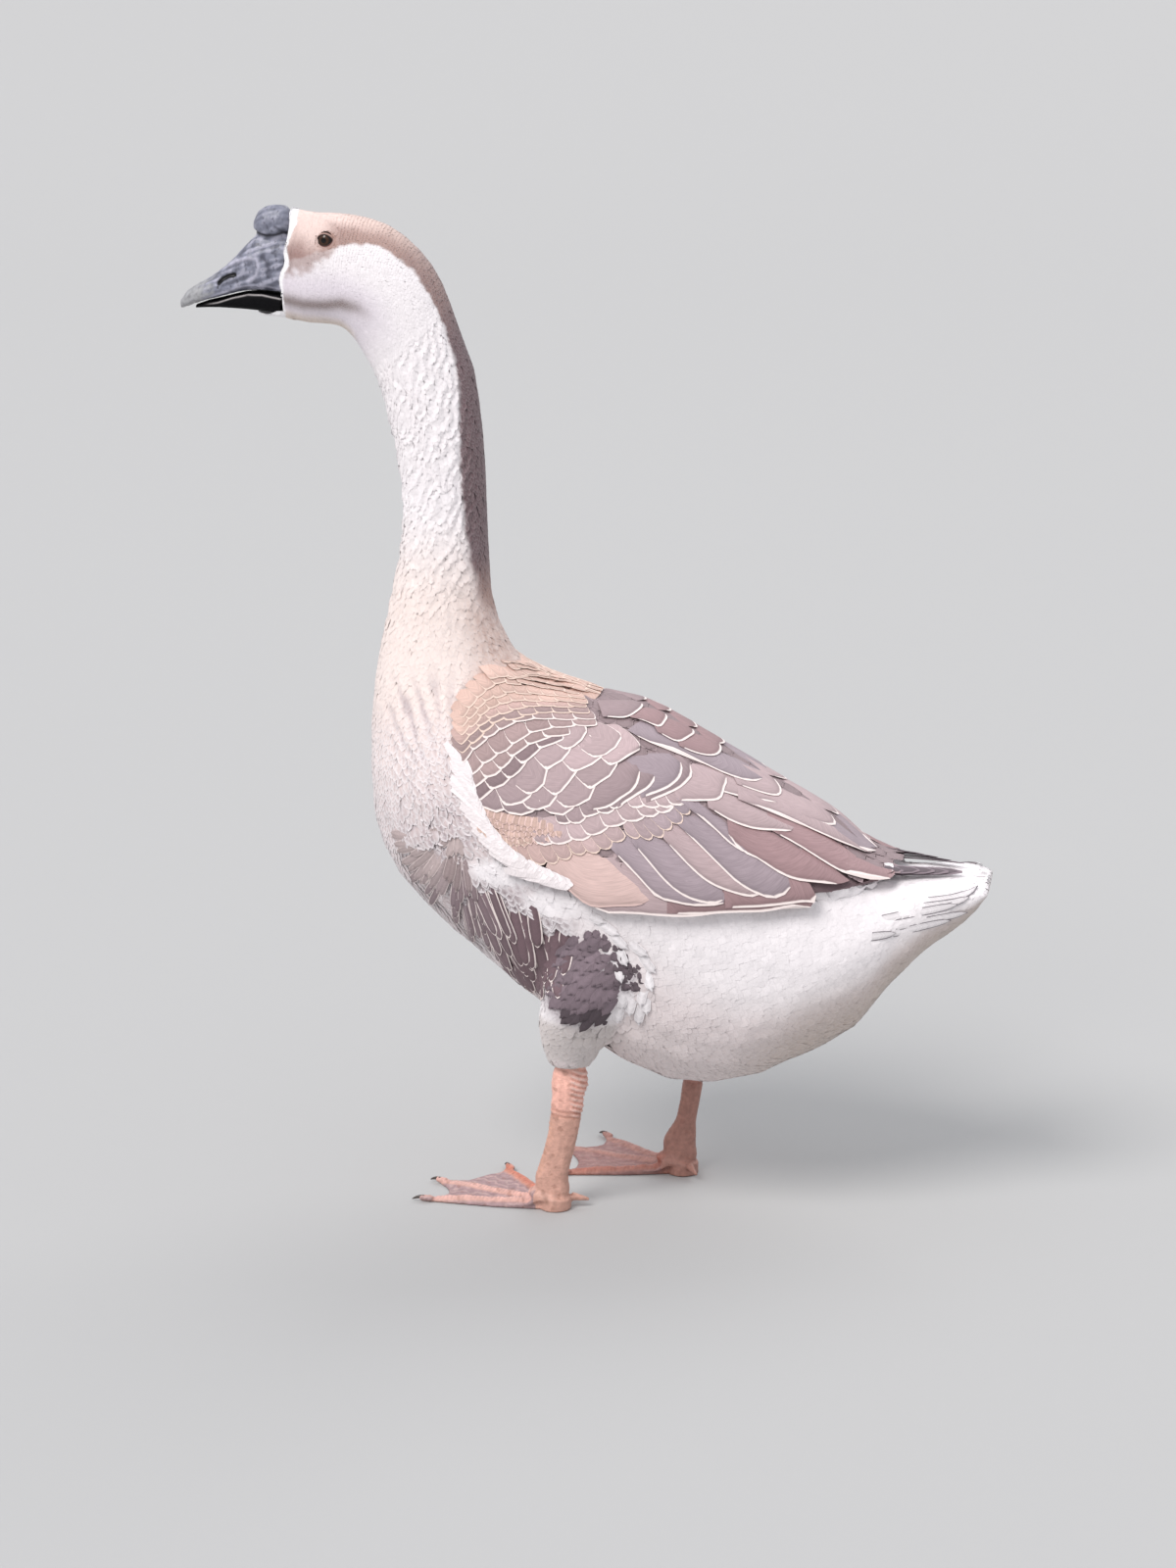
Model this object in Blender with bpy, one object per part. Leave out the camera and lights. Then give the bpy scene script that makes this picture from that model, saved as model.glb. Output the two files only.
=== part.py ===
"""African goose, standing alert with the neck raised: a still, life-size museum model.

The bird faces -X and stands on z = 0; its left side is at -Y. The outer surface of every
solid is the surface of the plumage, so the outline runs out to the feather tips.
Body sections are given as pairs of points in the mid plane (y = 0), one on the throat,
breast and belly line and one on the crown, nape and back line, with a half width.
"""

import math

import bmesh
import bpy
import numpy as np

for old in list(bpy.data.objects):
    bpy.data.objects.remove(old, do_unlink=True)

MM = 0.001
GAP = 0.3 * MM                # clearance left between two pieces that touch

# ---------------------------------------------------------------- driving dimensions
BODY_SIDES = 28               # points round a section of the body

# Sections of head, neck, trunk and tail, in millimetres:
# low x, low z, high x, high z, half width, widest place from low to high, fullness
HEAD_SECTIONS = {
    "bill base": (-249, 732, -240, 821, 16, 0.40, 2.3),
    "lores": (-229, 727.5, -225, 817.5, 20.5, 0.42, 2.2),
    "eye": (-212, 727, -205, 817, 24, 0.42, 2.2),
    "ear": (-200, 725, -184, 815, 26, 0.43, 2.1),
    "hind head": (-192, 718, -160, 807.5, 27, 0.45, 2.0),
    "occiput": (-186, 709.5, -138, 790.5, 27, 0.48, 2.0),
    "nape": (-180.5, 700, -122, 770, 26.5, 0.50, 2.0),
}
NECK_SECTIONS = {
    "neck top": (-174.5, 689.5, -112, 747.5, 26, 0.50, 2.0),
    "below the nape": (-168.5, 675, -102.5, 720, 26.5, 0.50, 2.0),
    "upper neck": (-164, 656, -93, 695, 27.5, 0.50, 2.0),
    "upper third": (-158.5, 632, -87.5, 660, 28.5, 0.50, 2.0),
    "mid neck": (-153, 600, -84, 618, 29, 0.50, 2.0),
    "slimmest": (-151.5, 570, -82.5, 575, 30, 0.50, 2.0),
    "lower third": (-155, 538, -81, 537, 32.5, 0.50, 2.0),
    "lower neck": (-162.5, 503, -78, 501, 38, 0.50, 2.0),
    "neck root": (-170.5, 468, -66, 469, 46, 0.50, 2.0),
}
TRUNK_SECTIONS = {
    "shoulder": (-176, 436, -47, 443, 58, 0.48, 2.0),
    "crop": (-179, 398, -14, 432, 76, 0.46, 2.0),
    "breast": (-178.5, 352, 20, 424, 92, 0.46, 2.1),
    "keel front": (-173, 310, 54, 412, 101, 0.46, 2.1),
    "keel": (-157, 275, 86, 395, 106, 0.46, 2.1),
    "mid body": (-126, 242, 117, 376, 109, 0.46, 2.1),
    "widest": (-86, 208, 143, 361, 110, 0.46, 2.1),
    "hip": (-32, 164, 167, 348, 108, 0.46, 2.1),
    "paunch front": (27, 122, 192, 333, 103, 0.46, 2.1),
    "paunch": (80, 103, 213, 318, 96, 0.47, 2.1),
    "paunch rear": (134, 108.5, 230, 304.5, 87, 0.50, 2.1),
    "vent": (181, 129.5, 244, 295, 76, 0.54, 2.1),
    "rump": (222, 153.5, 256, 290, 65, 0.60, 2.1),
}
TAIL_SECTIONS = {
    "tail root": (251, 191.5, 266, 289, 56, 0.66, 2.2),
    "coverts": (282, 225, 284, 288.5, 51, 0.72, 2.3),
    "fan": (308, 246, 303, 287.5, 49, 0.76, 2.5),
    "fan edge": (321, 260, 318, 286, 47, 0.70, 2.6),
    "fan tip": (328.5, 272.5, 329, 283.5, 42, 0.60, 2.6),
    "end": (331.5, 277.5, 332, 281.5, 36, 0.50, 2.4),
}

# Bill: low x, low z, high x, high z, half width, widest place, fullness
UPPER_BILL = {
    "base": (-246.8, 751.5, -241.9, 800, 15.0, 0.22, 2.1),
    "under the knob": (-258, 753, -256, 800.5, 15.0, 0.20, 2.1),
    "crease": (-267, 753.5, -267, 799, 14.8, 0.18, 2.1),
    "nostril rear": (-277, 753, -277.5, 790, 14.4, 0.18, 2.1),
    "nostril": (-288, 750.5, -288.5, 778, 14.0, 0.20, 2.1),
    "mid bill": (-301, 747, -301.5, 767, 13.6, 0.24, 2.2),
    "saddle": (-313, 744, -313.5, 759.5, 13.0, 0.30, 2.3),
    "nail root": (-321, 741, -321.5, 755, 11.6, 0.36, 2.3),
    "nail": (-328, 738, -328.3, 750, 8.8, 0.42, 2.2),
    "tip": (-332, 737, -332, 744, 4.6, 0.50, 2.0),
}
LOWER_BILL = {
    "base": (-248.8, 734.5, -247.2, 750.6, 12.8, 0.70, 2.3),
    "gape": (-263, 736, -262.5, 752.6, 12.6, 0.72, 2.3),
    "rami": (-276, 737.2, -276, 752, 12.0, 0.72, 2.3),
    "middle": (-289, 738, -289, 749, 11.4, 0.70, 2.3),
    "front": (-303, 738.6, -303, 745.3, 10.4, 0.60, 2.3),
    "edge": (-313, 738.2, -313, 742.8, 8.6, 0.55, 2.2),
    "end": (-319.5, 737.6, -319.5, 740.3, 5.0, 0.50, 2.0),
}
KNOB_CENTRE = (-254.5 * MM, 0.0, 806.0 * MM)
KNOB_RADII = (16.5 * MM, 11.5 * MM, 16.2 * MM)

EYE_RADIUS = 8.4 * MM
EYE_CENTRE = (-209.5 * MM, 14.6 * MM, 797 * MM)

# Folded wing: sections across the body at x, as an oval that the wing lies on:
# oval centre z, half height, half width, top angle and lower angle from straight up
WING_SECTIONS = {
    -88: (305, 172, 104, 50, 77),
    -50: (290, 161, 113, 33, 83.5),
    0: (276, 157, 118.5, 15, 85),
    50: (269, 151, 119, 2.0, 86),
    100: (266, 127, 113.5, 2.0, 85),
    150: (266, 98, 101, 2.4, 81),
    200: (272, 62, 82, 3.0, 78),
    235: (281, 25, 61, 4.0, 74),
    262: (288, 11, 44, 8.0, 70),
}
WING_FRONT = -88 * MM
WING_REAR = 262 * MM
WING_THICKNESS = 10 * MM
WING_EDGE = 5 * MM
WING_ROWS = 16
WING_COLUMNS = 9

# Tips of the longest quills, laid over the root of the tail:
# low x, low z, high x, high z, half width, centre y
QUILL_SECTIONS = {
    "root": (236, 291, 236, 298, 12, 24),
    "middle": (262, 291, 262, 296.5, 11, 21),
    "outer": (290, 290, 290, 294.6, 8, 17),
    "end": (309, 289.4, 309, 292.4, 3, 14),
}

# Legs, given for the left one as height: (x, y, radius fore and aft, radius sideways)
THIGH_LEFT = {
    240: (26, -82, 44, 22),
    218: (22, -80, 46, 27),
    195: (14, -76, 41, 29),
    172: (3.5, -69, 33.5, 26),
    150: (-3, -60.5, 26, 21.5),
    136: (-6, -55.5, 20, 17.5),
    128: (-6.5, -53, 16.5, 15),
}
SHANK_LEFT = {
    127.6: (-7, -52, 11.6, 9.4),
    118: (-7.5, -52, 14.4, 11.0),
    108: (-8, -52, 15.4, 11.6),
    97: (-9.5, -52, 13.0, 9.8),
    84: (-11, -52, 11.0, 7.8),
    66: (-13.5, -52, 10.4, 7.2),
    44: (-18, -52, 10.6, 7.4),
    28: (-20.5, -52, 11.4, 8.6),
    17.6: (-20, -52, 11.6, 9.2),
}
HOCK_TURN = 12                # sides of a shank section
STEP_BACK = 94 * MM           # how far the right foot is planted behind the left one
RIGHT_SHIFT = 50 * MM         # the right leg's y, and the left one's is -52 mm

# Foot, flat on the ground: toe angles from the heel, outward positive
FOOT_LENGTH = 117 * MM        # heel to the tip of the middle toe
TOES = {"inner": (-33, 0.88), "middle": (0, 1.0), "outer": (22, 0.95)}
LEFT_HEADING = 24             # degrees that the left foot turns inward
RIGHT_HEADING = -22           # the right foot turns outward
WEB_THICKNESS = 2.6 * MM
TOE_HEIGHT = 8.5 * MM
TOE_WIDTH = 5.2 * MM
HEEL_HEIGHT = 17.2 * MM
HEEL_RADIUS = 12.6 * MM
CLAW_LENGTH = 10 * MM
HIND_TOE = 14 * MM

COLOURS = {
    "plumage_pale": (0.86, 0.80, 0.76, 0.85),
    "plumage_brown": (0.42, 0.33, 0.31, 0.85),
    "bill_skin": (0.14, 0.16, 0.20, 0.40),
    "eye_brown": (0.10, 0.05, 0.03, 0.08),
    "leg_skin": (0.72, 0.33, 0.20, 0.55),
    "claw_horn": (0.30, 0.24, 0.20, 0.45),
}


# ---------------------------------------------------------------------------- helpers
def material(name):
    """The Principled material of one kind of surface."""
    found = bpy.data.materials.get(name)
    if found:
        return found
    red, green, blue, roughness = COLOURS[name]
    made = bpy.data.materials.new(name)
    made.use_nodes = True
    shader = made.node_tree.nodes["Principled BSDF"]
    shader.inputs["Base Color"].default_value = (red, green, blue, 1.0)
    shader.inputs["Roughness"].default_value = roughness
    shader.inputs["Metallic"].default_value = 0.0
    return made


def finish(name, bm, surface, cutter=False):
    """Turn a bmesh into an object with outward faces and its own material."""
    bmesh.ops.triangulate(bm, faces=bm.faces)
    bm.normal_update()
    bmesh.ops.recalc_face_normals(bm, faces=bm.faces)
    mesh = bpy.data.meshes.new(name)
    bm.to_mesh(mesh)
    bm.free()
    mesh.shade_smooth()
    made = bpy.data.objects.new(name, mesh)
    bpy.context.scene.collection.objects.link(made)
    if cutter:
        made.hide_render = True
        made.display_type = "WIRE"
    else:
        mesh.materials.append(material(surface))
    return made


def cut(piece, cutter):
    """Take a cutter's volume out of a piece."""
    step = piece.modifiers.new("cut " + cutter.name, "BOOLEAN")
    step.operation = "DIFFERENCE"
    step.solver = "EXACT"
    step.object = cutter


def grown(piece, by=GAP):
    """A cutter with the shape of a piece, grown outward all over."""
    bm = bmesh.new()
    bm.from_mesh(piece.data)
    bm.normal_update()
    moved = [v.co + v.normal * by for v in bm.verts]
    for vert, place in zip(bm.verts, moved):
        vert.co = place
    return finish(piece.name + "_room", bm, None, cutter=True)


def smooth_rows(rows, step):
    """Rows of numbers read off a smooth curve through the given ones, a step apart."""
    rows = np.asarray(rows, float)
    middle = np.stack([rows[:, 0] + rows[:, 2], rows[:, 1] + rows[:, 3]], 1) / 2
    along = np.concatenate([[0], np.cumsum(np.linalg.norm(np.diff(middle, axis=0), axis=1))])
    slope = np.gradient(rows, along, axis=0)
    count = max(2, int(round(along[-1] / step)) + 1)
    out = []
    for place in np.linspace(0, along[-1], count):
        i = min(int(np.searchsorted(along, place, side="right")) - 1, len(along) - 2)
        width = along[i + 1] - along[i]
        t = (place - along[i]) / width
        out.append(
            (2 * t**3 - 3 * t**2 + 1) * rows[i]
            + (t**3 - 2 * t**2 + t) * width * slope[i]
            + (3 * t**2 - 2 * t**3) * rows[i + 1]
            + (t**3 - t**2) * width * slope[i + 1]
        )
    return np.array(out)


def section_ring(row, sides, centre_y=0.0):
    """Points round one section; the row is in metres but for its last two numbers."""
    low = np.array([row[0], 0.0, row[1]])
    high = np.array([row[2], 0.0, row[3]])
    half_width, widest, fullness = row[4:7]
    up = high - low
    points = []
    for k in range(sides):
        turn = 2 * math.pi * k / sides
        rise = math.copysign(abs(math.cos(turn)) ** (2 / fullness), math.cos(turn))
        side = math.copysign(abs(math.sin(turn)) ** (2 / fullness), math.sin(turn))
        reach = (1 - widest) if rise > 0 else widest
        point = low + up * (widest + reach * rise)
        point[1] = centre_y + half_width * side
        points.append(point)
    return points


def skin_rings(rings):
    """A closed bmesh through a row of rings with flat ends."""
    bm = bmesh.new()
    loops = [[bm.verts.new(tuple(p)) for p in ring] for ring in rings]
    for first, second in zip(loops, loops[1:]):
        for k in range(len(first)):
            j = (k + 1) % len(first)
            bm.faces.new((first[k], first[j], second[j], second[k]))
    bm.faces.new(loops[0])
    bm.faces.new(list(reversed(loops[-1])))
    return bm


def in_metres(table):
    """Section rows with their millimetres turned to metres."""
    rows = np.array(list(table.values()), float)
    rows[:, :5] *= MM
    return rows


def pull_in(ring, toward, by):
    """Move a flat end ring a little toward the inside of its piece."""
    ring = np.array(ring)
    inward = np.mean(toward, 0) - np.mean(ring, 0)
    normal = np.cross(ring[3] - ring[0], ring[len(ring) // 2] - ring[0])
    normal /= np.linalg.norm(normal)
    if normal @ inward < 0:
        normal = -normal
    return ring + normal * by


def lofted(name, rows, surface, sides=BODY_SIDES, step=0.02, ends=(True, True)):
    """A solid through section rows; an end marked True leaves half a gap."""
    rings = [section_ring(row, sides) for row in smooth_rows(rows, step)]
    if ends[0]:
        rings[0] = pull_in(rings[0], rings[1], GAP / 2)
    if ends[1]:
        rings[-1] = pull_in(rings[-1], rings[-2], GAP / 2)
    return finish(name, skin_rings(rings), surface)


# ------------------------------------------------- head, neck, trunk and tail in one run
# The four follow one smooth run of sections and are parted by thin flat cuts.
head_rows = in_metres(HEAD_SECTIONS)
neck_rows = in_metres(NECK_SECTIONS)
trunk_rows = in_metres(TRUNK_SECTIONS)
tail_rows = in_metres(TAIL_SECTIONS)

head = lofted("head", np.vstack([head_rows, neck_rows[:1]]), "plumage_pale", step=0.012)
neck = lofted("neck", np.vstack([neck_rows, trunk_rows[:1]]), "plumage_pale", step=0.024)
trunk = lofted("trunk", np.vstack([trunk_rows, tail_rows[:1]]), "plumage_pale", step=0.026)
tail = lofted("tail", tail_rows, "plumage_pale", step=0.012, ends=(True, False))

# ------------------------------------------------------------------------ bill and knob
# The bill butts against the flat front of the head; the knob sits on its root.
upper_bill = lofted("upper_bill", in_metres(UPPER_BILL), "bill_skin", 20, 0.008, (True, False))
lower_bill = lofted("lower_bill", in_metres(LOWER_BILL), "bill_skin", 16, 0.010, (True, False))

knob_bm = bmesh.new()
bmesh.ops.create_uvsphere(knob_bm, u_segments=18, v_segments=11, radius=1.0)
for vert in knob_bm.verts:
    vert.co = [c + r * v for c, r, v in zip(KNOB_CENTRE, KNOB_RADII, vert.co)]
knob = finish("knob", knob_bm, "bill_skin")
cut(knob, grown(upper_bill))


def head_front_block():
    """The space behind the flat front of the head, with a gap before it."""
    low, high = head_rows[0][0:2], head_rows[0][2:4]
    lean = (high[0] - low[0]) / (high[1] - low[1])
    bm = bmesh.new()
    bmesh.ops.create_cube(bm, size=0.2)
    for vert in bm.verts:
        z = vert.co.z + high[1]
        face = high[0] + lean * (z - high[1]) - GAP
        vert.co.x = face if vert.co.x < 0 else face + 0.1
        vert.co.z = z
    return finish("head_front_room", bm, None, cutter=True)


cut(knob, head_front_block())

# --------------------------------------------------------------------------------- eyes
for side, mark in ((-1, "l"), (1, "r")):
    bm = bmesh.new()
    bmesh.ops.create_uvsphere(bm, u_segments=14, v_segments=8, radius=EYE_RADIUS)
    for vert in bm.verts:
        x, y, z = vert.co
        vert.co = (x + EYE_CENTRE[0], side * (z + EYE_CENTRE[1]), side * y + EYE_CENTRE[2])
    eye = finish("eye_" + mark, bm, "eye_brown")
    cut(head, grown(eye))

# ------------------------------------------------------------------------- folded wings
wing_x = np.array(list(WING_SECTIONS), float) * MM
wing_table = np.array(list(WING_SECTIONS.values()), float)
wing_table[:, :3] *= MM
wing_slope = np.gradient(wing_table, wing_x, axis=0)


def wing_section(x):
    """Oval centre, half height, half width and the two angles at x, smoothly read."""
    x = min(max(x, wing_x[0]), wing_x[-1])
    i = min(int(np.searchsorted(wing_x, x, side="right")) - 1, len(wing_x) - 2)
    width = wing_x[i + 1] - wing_x[i]
    t = (x - wing_x[i]) / width
    return (
        (2 * t**3 - 3 * t**2 + 1) * wing_table[i]
        + (t**3 - 2 * t**2 + t) * width * wing_slope[i]
        + (3 * t**2 - 2 * t**3) * wing_table[i + 1]
        + (t**3 - t**2) * width * wing_slope[i + 1]
    )


def wing_solid(name, side, inward=0.0, outward=0.0, rim=0.0, cutter=False):
    """A folded wing as a curved plate, or with extra room on its faces and rim."""
    outer, inner = [], []
    for row in range(WING_ROWS + 1):
        u = row / WING_ROWS
        for column in range(WING_COLUMNS + 1):
            v = column / WING_COLUMNS
            bend = abs(2 * v - 1) ** 3
            front = WING_FRONT - rim + 0.020 * bend
            rear = WING_REAR + rim - 0.030 * bend
            x = front + (rear - front) * (u ** 0.85)
            centre, height, width, top, low = wing_section(x)
            spread = math.degrees(rim / max(width, height))
            turn = math.radians(top - spread + (low - top + 2 * spread) * v)
            edge = min(1.0, 4 * min(u, 1 - u) + 0.0, 4 * min(v, 1 - v) + 0.2)
            thick = WING_EDGE + (WING_THICKNESS - WING_EDGE) * edge
            thick = min(thick, height * 0.45)
            up, out = math.cos(turn), math.sin(turn)
            outer.append((x, side * out * (width + outward), centre + up * (height + outward)))
            less = thick + inward
            inner.append((x, side * out * (width - less), centre + up * (height - less)))
    bm = bmesh.new()
    tops = [bm.verts.new(p) for p in outer]
    bottoms = [bm.verts.new(p) for p in inner]
    span = WING_COLUMNS + 1
    for row in range(WING_ROWS):
        for column in range(WING_COLUMNS):
            a = row * span + column
            corners = (a, a + 1, a + span + 1, a + span)
            bm.faces.new([tops[k] for k in corners])
            bm.faces.new([bottoms[k] for k in reversed(corners)])
    border = list(range(span)) + [r * span + span - 1 for r in range(1, WING_ROWS + 1)]
    border += [WING_ROWS * span + c for c in range(span - 2, -1, -1)]
    border += [r * span for r in range(WING_ROWS - 1, 0, -1)]
    for k, a in enumerate(border):
        b = border[(k + 1) % len(border)]
        bm.faces.new((tops[a], tops[b], bottoms[b], bottoms[a]))
    return finish(name, bm, "plumage_brown", cutter)


WING_COVER = 25 * MM          # how far over a wing nothing of the body is left
wing_rooms = []
for side, mark in ((-1, "l"), (1, "r")):
    wing_solid("wing_" + mark, side)
    room = wing_solid("wing_room_" + mark, side, GAP, WING_COVER, GAP, cutter=True)
    wing_rooms.append(room)
    cut(trunk, room)

# ---------------------------------------------------- quill tips over the tail root
tail_room = grown(tail)
trunk_room = grown(trunk)
for side, mark in ((-1, "l"), (1, "r")):
    rows = np.array(list(QUILL_SECTIONS.values()), float) * MM
    rings = []
    for low_x, low_z, high_x, high_z, half, centre in rows:
        row = (low_x, low_z, high_x, high_z, half, 0.5, 2.4)
        rings.append(section_ring(row, 12, side * centre))
    quills = finish("quill_tips_" + mark, skin_rings(rings), "plumage_brown")
    for room in (wing_rooms[0], wing_rooms[1], trunk_room, tail_room):
        cut(quills, room)


# --------------------------------------------------------------------------------- legs
def leg_rings(table, shift, turn, sides):
    """Level rings down a leg; shift moves them and turn mirrors them to the right side."""
    rings = []
    for height, (x, y, long_radius, wide_radius) in table.items():
        ring = []
        for k in range(sides):
            a = 2 * math.pi * k / sides
            px = x * MM + shift[0] + long_radius * MM * math.cos(a)
            py = turn * (y * MM + wide_radius * MM * math.sin(a)) + shift[1]
            ring.append((px, py, height * MM))
        rings.append(ring)
    return rings


left_ankle = SHANK_LEFT[17.6]
left_y = left_ankle[1] * MM
right_shift = (STEP_BACK, RIGHT_SHIFT + left_y)
for mark, turn, shift in (("l", 1, (0.0, 0.0)), ("r", -1, right_shift)):
    table = dict(THIGH_LEFT)
    if mark == "r":
        # the right thigh swings back from the hip, so its top moves less than its foot
        table = {
            h: (x - 42 * max(0.0, (h - 128) / 112), y - 2, a, b)
            for h, (x, y, a, b) in table.items()
        }
    thigh = finish("thigh_" + mark, skin_rings(leg_rings(table, shift, turn, 20)), "plumage_pale")
    cut(trunk, grown(thigh))
    shank_mesh = skin_rings(leg_rings(SHANK_LEFT, shift, turn, HOCK_TURN))
    shank = finish("shank_" + mark, shank_mesh, "leg_skin")
    if mark == "r":
        # this hock is drawn up into the paunch feathers
        cut(trunk, grown(shank))


# --------------------------------------------------------------------------------- feet
FOOT_COLUMNS = 18             # steps from the inner edge to the outer edge
FOOT_ROWS = 8                # steps from the heel to the toe tips


def foot_frame(mark):
    """Heel point, unit vector along the middle toe and unit vector outward."""
    if mark == "l":
        heel = np.array([left_ankle[0] * MM, left_y])
        out = -1
        heading = math.radians(LEFT_HEADING)
    else:
        heel = np.array([left_ankle[0] * MM + right_shift[0], -left_y + right_shift[1]])
        out = 1
        heading = math.radians(RIGHT_HEADING)
    forward = np.array([-math.cos(heading), -out * math.sin(heading)])
    outward = np.array([-out * forward[1], out * forward[0]]) * -1
    if outward[1] * out < 0:
        outward = -outward
    return heel, forward, outward


def foot_reach(angle):
    """Distance from the heel to the rim of the web at an angle, scalloped between toes."""
    marks = sorted((math.radians(a), r * FOOT_LENGTH) for a, r in TOES.values())
    if angle <= marks[0][0]:
        return marks[0][1]
    if angle >= marks[-1][0]:
        return marks[-1][1]
    for (a0, r0), (a1, r1) in zip(marks, marks[1:]):
        if a0 <= angle <= a1:
            t = (angle - a0) / (a1 - a0)
            sag = 0.17 * FOOT_LENGTH * (4 * t * (1 - t)) ** 0.8
            return r0 + (r1 - r0) * t - sag
    return marks[0][1]


def foot_height(along, across):
    """Height of the upper face at a place given along the middle toe and outward."""
    height = WEB_THICKNESS
    for degrees, reach in TOES.values():
        a = math.radians(degrees)
        line = along * math.cos(a) + across * math.sin(a)
        off = across * math.cos(a) - along * math.sin(a)
        share = min(max(line / (reach * FOOT_LENGTH), 0.0), 1.0)
        joints = 1 + 0.10 * math.cos(share * 2 * math.pi * 3)
        tall = (TOE_HEIGHT * (1 - 0.42 * share) * joints) - WEB_THICKNESS
        bump = WEB_THICKNESS + tall * math.exp(-((off / (TOE_WIDTH * (1 - 0.25 * share))) ** 2))
        height = max(height, bump)
    from_heel = math.hypot(along, across) / HEEL_RADIUS
    mound = HEEL_HEIGHT * math.exp(-max(0.0, from_heel - 0.80) ** 2 * 1.6)
    return max(height, mound)


for mark in ("l", "r"):
    heel, forward, outward = foot_frame(mark)
    edge_low = math.radians(min(a for a, r in TOES.values()))
    edge_high = math.radians(max(a for a, r in TOES.values()))
    bm = bmesh.new()
    upper, lower = [], []
    for row in range(FOOT_ROWS + 1):
        v = row / FOOT_ROWS
        for column in range(FOOT_COLUMNS + 1):
            u = column / FOOT_COLUMNS
            angle = edge_low + (edge_high - edge_low) * u
            # the heel end is an arc behind the ankle, the toe end is the rim of the web
            back = math.pi + (0.5 - u) * math.radians(250)
            start = np.array([-math.cos(back - math.pi), math.sin(back - math.pi) * -1])
            start = start * HEEL_RADIUS * 1.05
            side_push = 4.2 * MM * (2 * u - 1) * min(1.0, v * 3)
            reach = foot_reach(angle)
            stop = reach * np.array([math.cos(angle), math.sin(angle)])
            place = start + (stop - start) * v + np.array([0.0, side_push])
            flat = heel + forward * place[0] + outward * place[1]
            inside = min(u, 1 - u, v * 1.0 + 0.0, (1 - v) + 0.0) > 0
            height = foot_height(place[0], place[1])
            if not inside:
                height *= 0.62
            upper.append(bm.verts.new((flat[0], flat[1], height)))
            lower.append(bm.verts.new((flat[0], flat[1], 0.0)))
    span = FOOT_COLUMNS + 1
    for row in range(FOOT_ROWS):
        for column in range(FOOT_COLUMNS):
            a = row * span + column
            bm.faces.new([upper[k] for k in (a, a + 1, a + span + 1, a + span)])
    border = list(range(span)) + [r * span + span - 1 for r in range(1, FOOT_ROWS + 1)]
    border += [FOOT_ROWS * span + c for c in range(span - 2, -1, -1)]
    border += [r * span for r in range(FOOT_ROWS - 1, 0, -1)]
    for k, a in enumerate(border):
        b = border[(k + 1) % len(border)]
        bm.faces.new((upper[a], upper[b], lower[b], lower[a]))
    bm.faces.new([lower[k] for k in reversed(border)])
    for k in set(range(len(lower))) - set(border):
        bm.verts.remove(lower[k])
    finish("foot_" + mark, bm, "leg_skin")

    # claws: short, curved, one beyond the tip of each front toe
    for toe, (degrees, share) in TOES.items():
        a = math.radians(degrees)
        line = forward * math.cos(a) + outward * math.sin(a)
        across = np.array([-line[1], line[0]])
        root = heel + line * (share * FOOT_LENGTH + 2 * GAP)
        push = 4.2 * MM * (1 if degrees > 0 else -1 if degrees < 0 else 0)
        root = root + outward * push
        rings = []
        for part in range(4):
            t = part / 3
            centre = root + line * CLAW_LENGTH * t
            middle = 3.4 * MM - 1.3 * MM * t * t
            tall = 2.6 * MM * (1 - 0.78 * t)
            wide = 2.5 * MM * (1 - 0.80 * t)
            ring = []
            for k in range(8):
                turn = 2 * math.pi * k / 8
                spot = centre + across * wide * math.cos(turn)
                ring.append((spot[0], spot[1], middle + tall * math.sin(turn)))
            rings.append(ring)
        finish("claw_" + toe + "_" + mark, skin_rings(rings), "claw_horn")

    # hind toe: small and raised, on the inner rear of the ankle
    back_line = -forward * 0.80 - outward * 0.60
    across = np.array([-back_line[1], back_line[0]])
    rings = []
    for part in range(5):
        t = part / 4
        centre = heel + back_line * (HEEL_RADIUS * 1.12 + HIND_TOE * t)
        middle = 9.5 * MM - 3.0 * MM * t
        tall = 4.0 * MM * (1 - 0.65 * t)
        wide = 3.4 * MM * (1 - 0.65 * t)
        ring = []
        for k in range(10):
            turn = 2 * math.pi * k / 10
            spot = centre + across * wide * math.cos(turn)
            ring.append((spot[0], spot[1], middle + tall * math.sin(turn)))
        rings.append(ring)
    finish("hind_toe_" + mark, skin_rings(rings), "leg_skin")

# ------------------------------------------------------------------------------- origin
# The origin is the middle of the ground rectangle that the whole bird stands over.
solids = [o for o in bpy.data.objects if o.type == "MESH" and not o.hide_render]
corners = np.array([v.co[:] for o in solids for v in o.data.vertices])
middle = (corners.min(0) + corners.max(0)) / 2
goose = bpy.data.objects.new("goose", None)
bpy.context.scene.collection.objects.link(goose)
goose.location = (-middle[0], -middle[1], 0.0)
for piece in [o for o in bpy.data.objects if o.type == "MESH"]:
    piece.parent = goose
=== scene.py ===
"""African goose, life size and standing: its skin, feathers, bill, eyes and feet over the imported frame.

The bird is finished in this order: the skin, the plumage's marks, the small feathers of head, neck and
trunk, the wings, the flanks, the thighs, the tail, the bill, the eyes, the feet, then the studio.
"""
import math

import bmesh
import bpy
import numpy as np
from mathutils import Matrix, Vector
from mathutils.bvhtree import BVHTree


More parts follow.
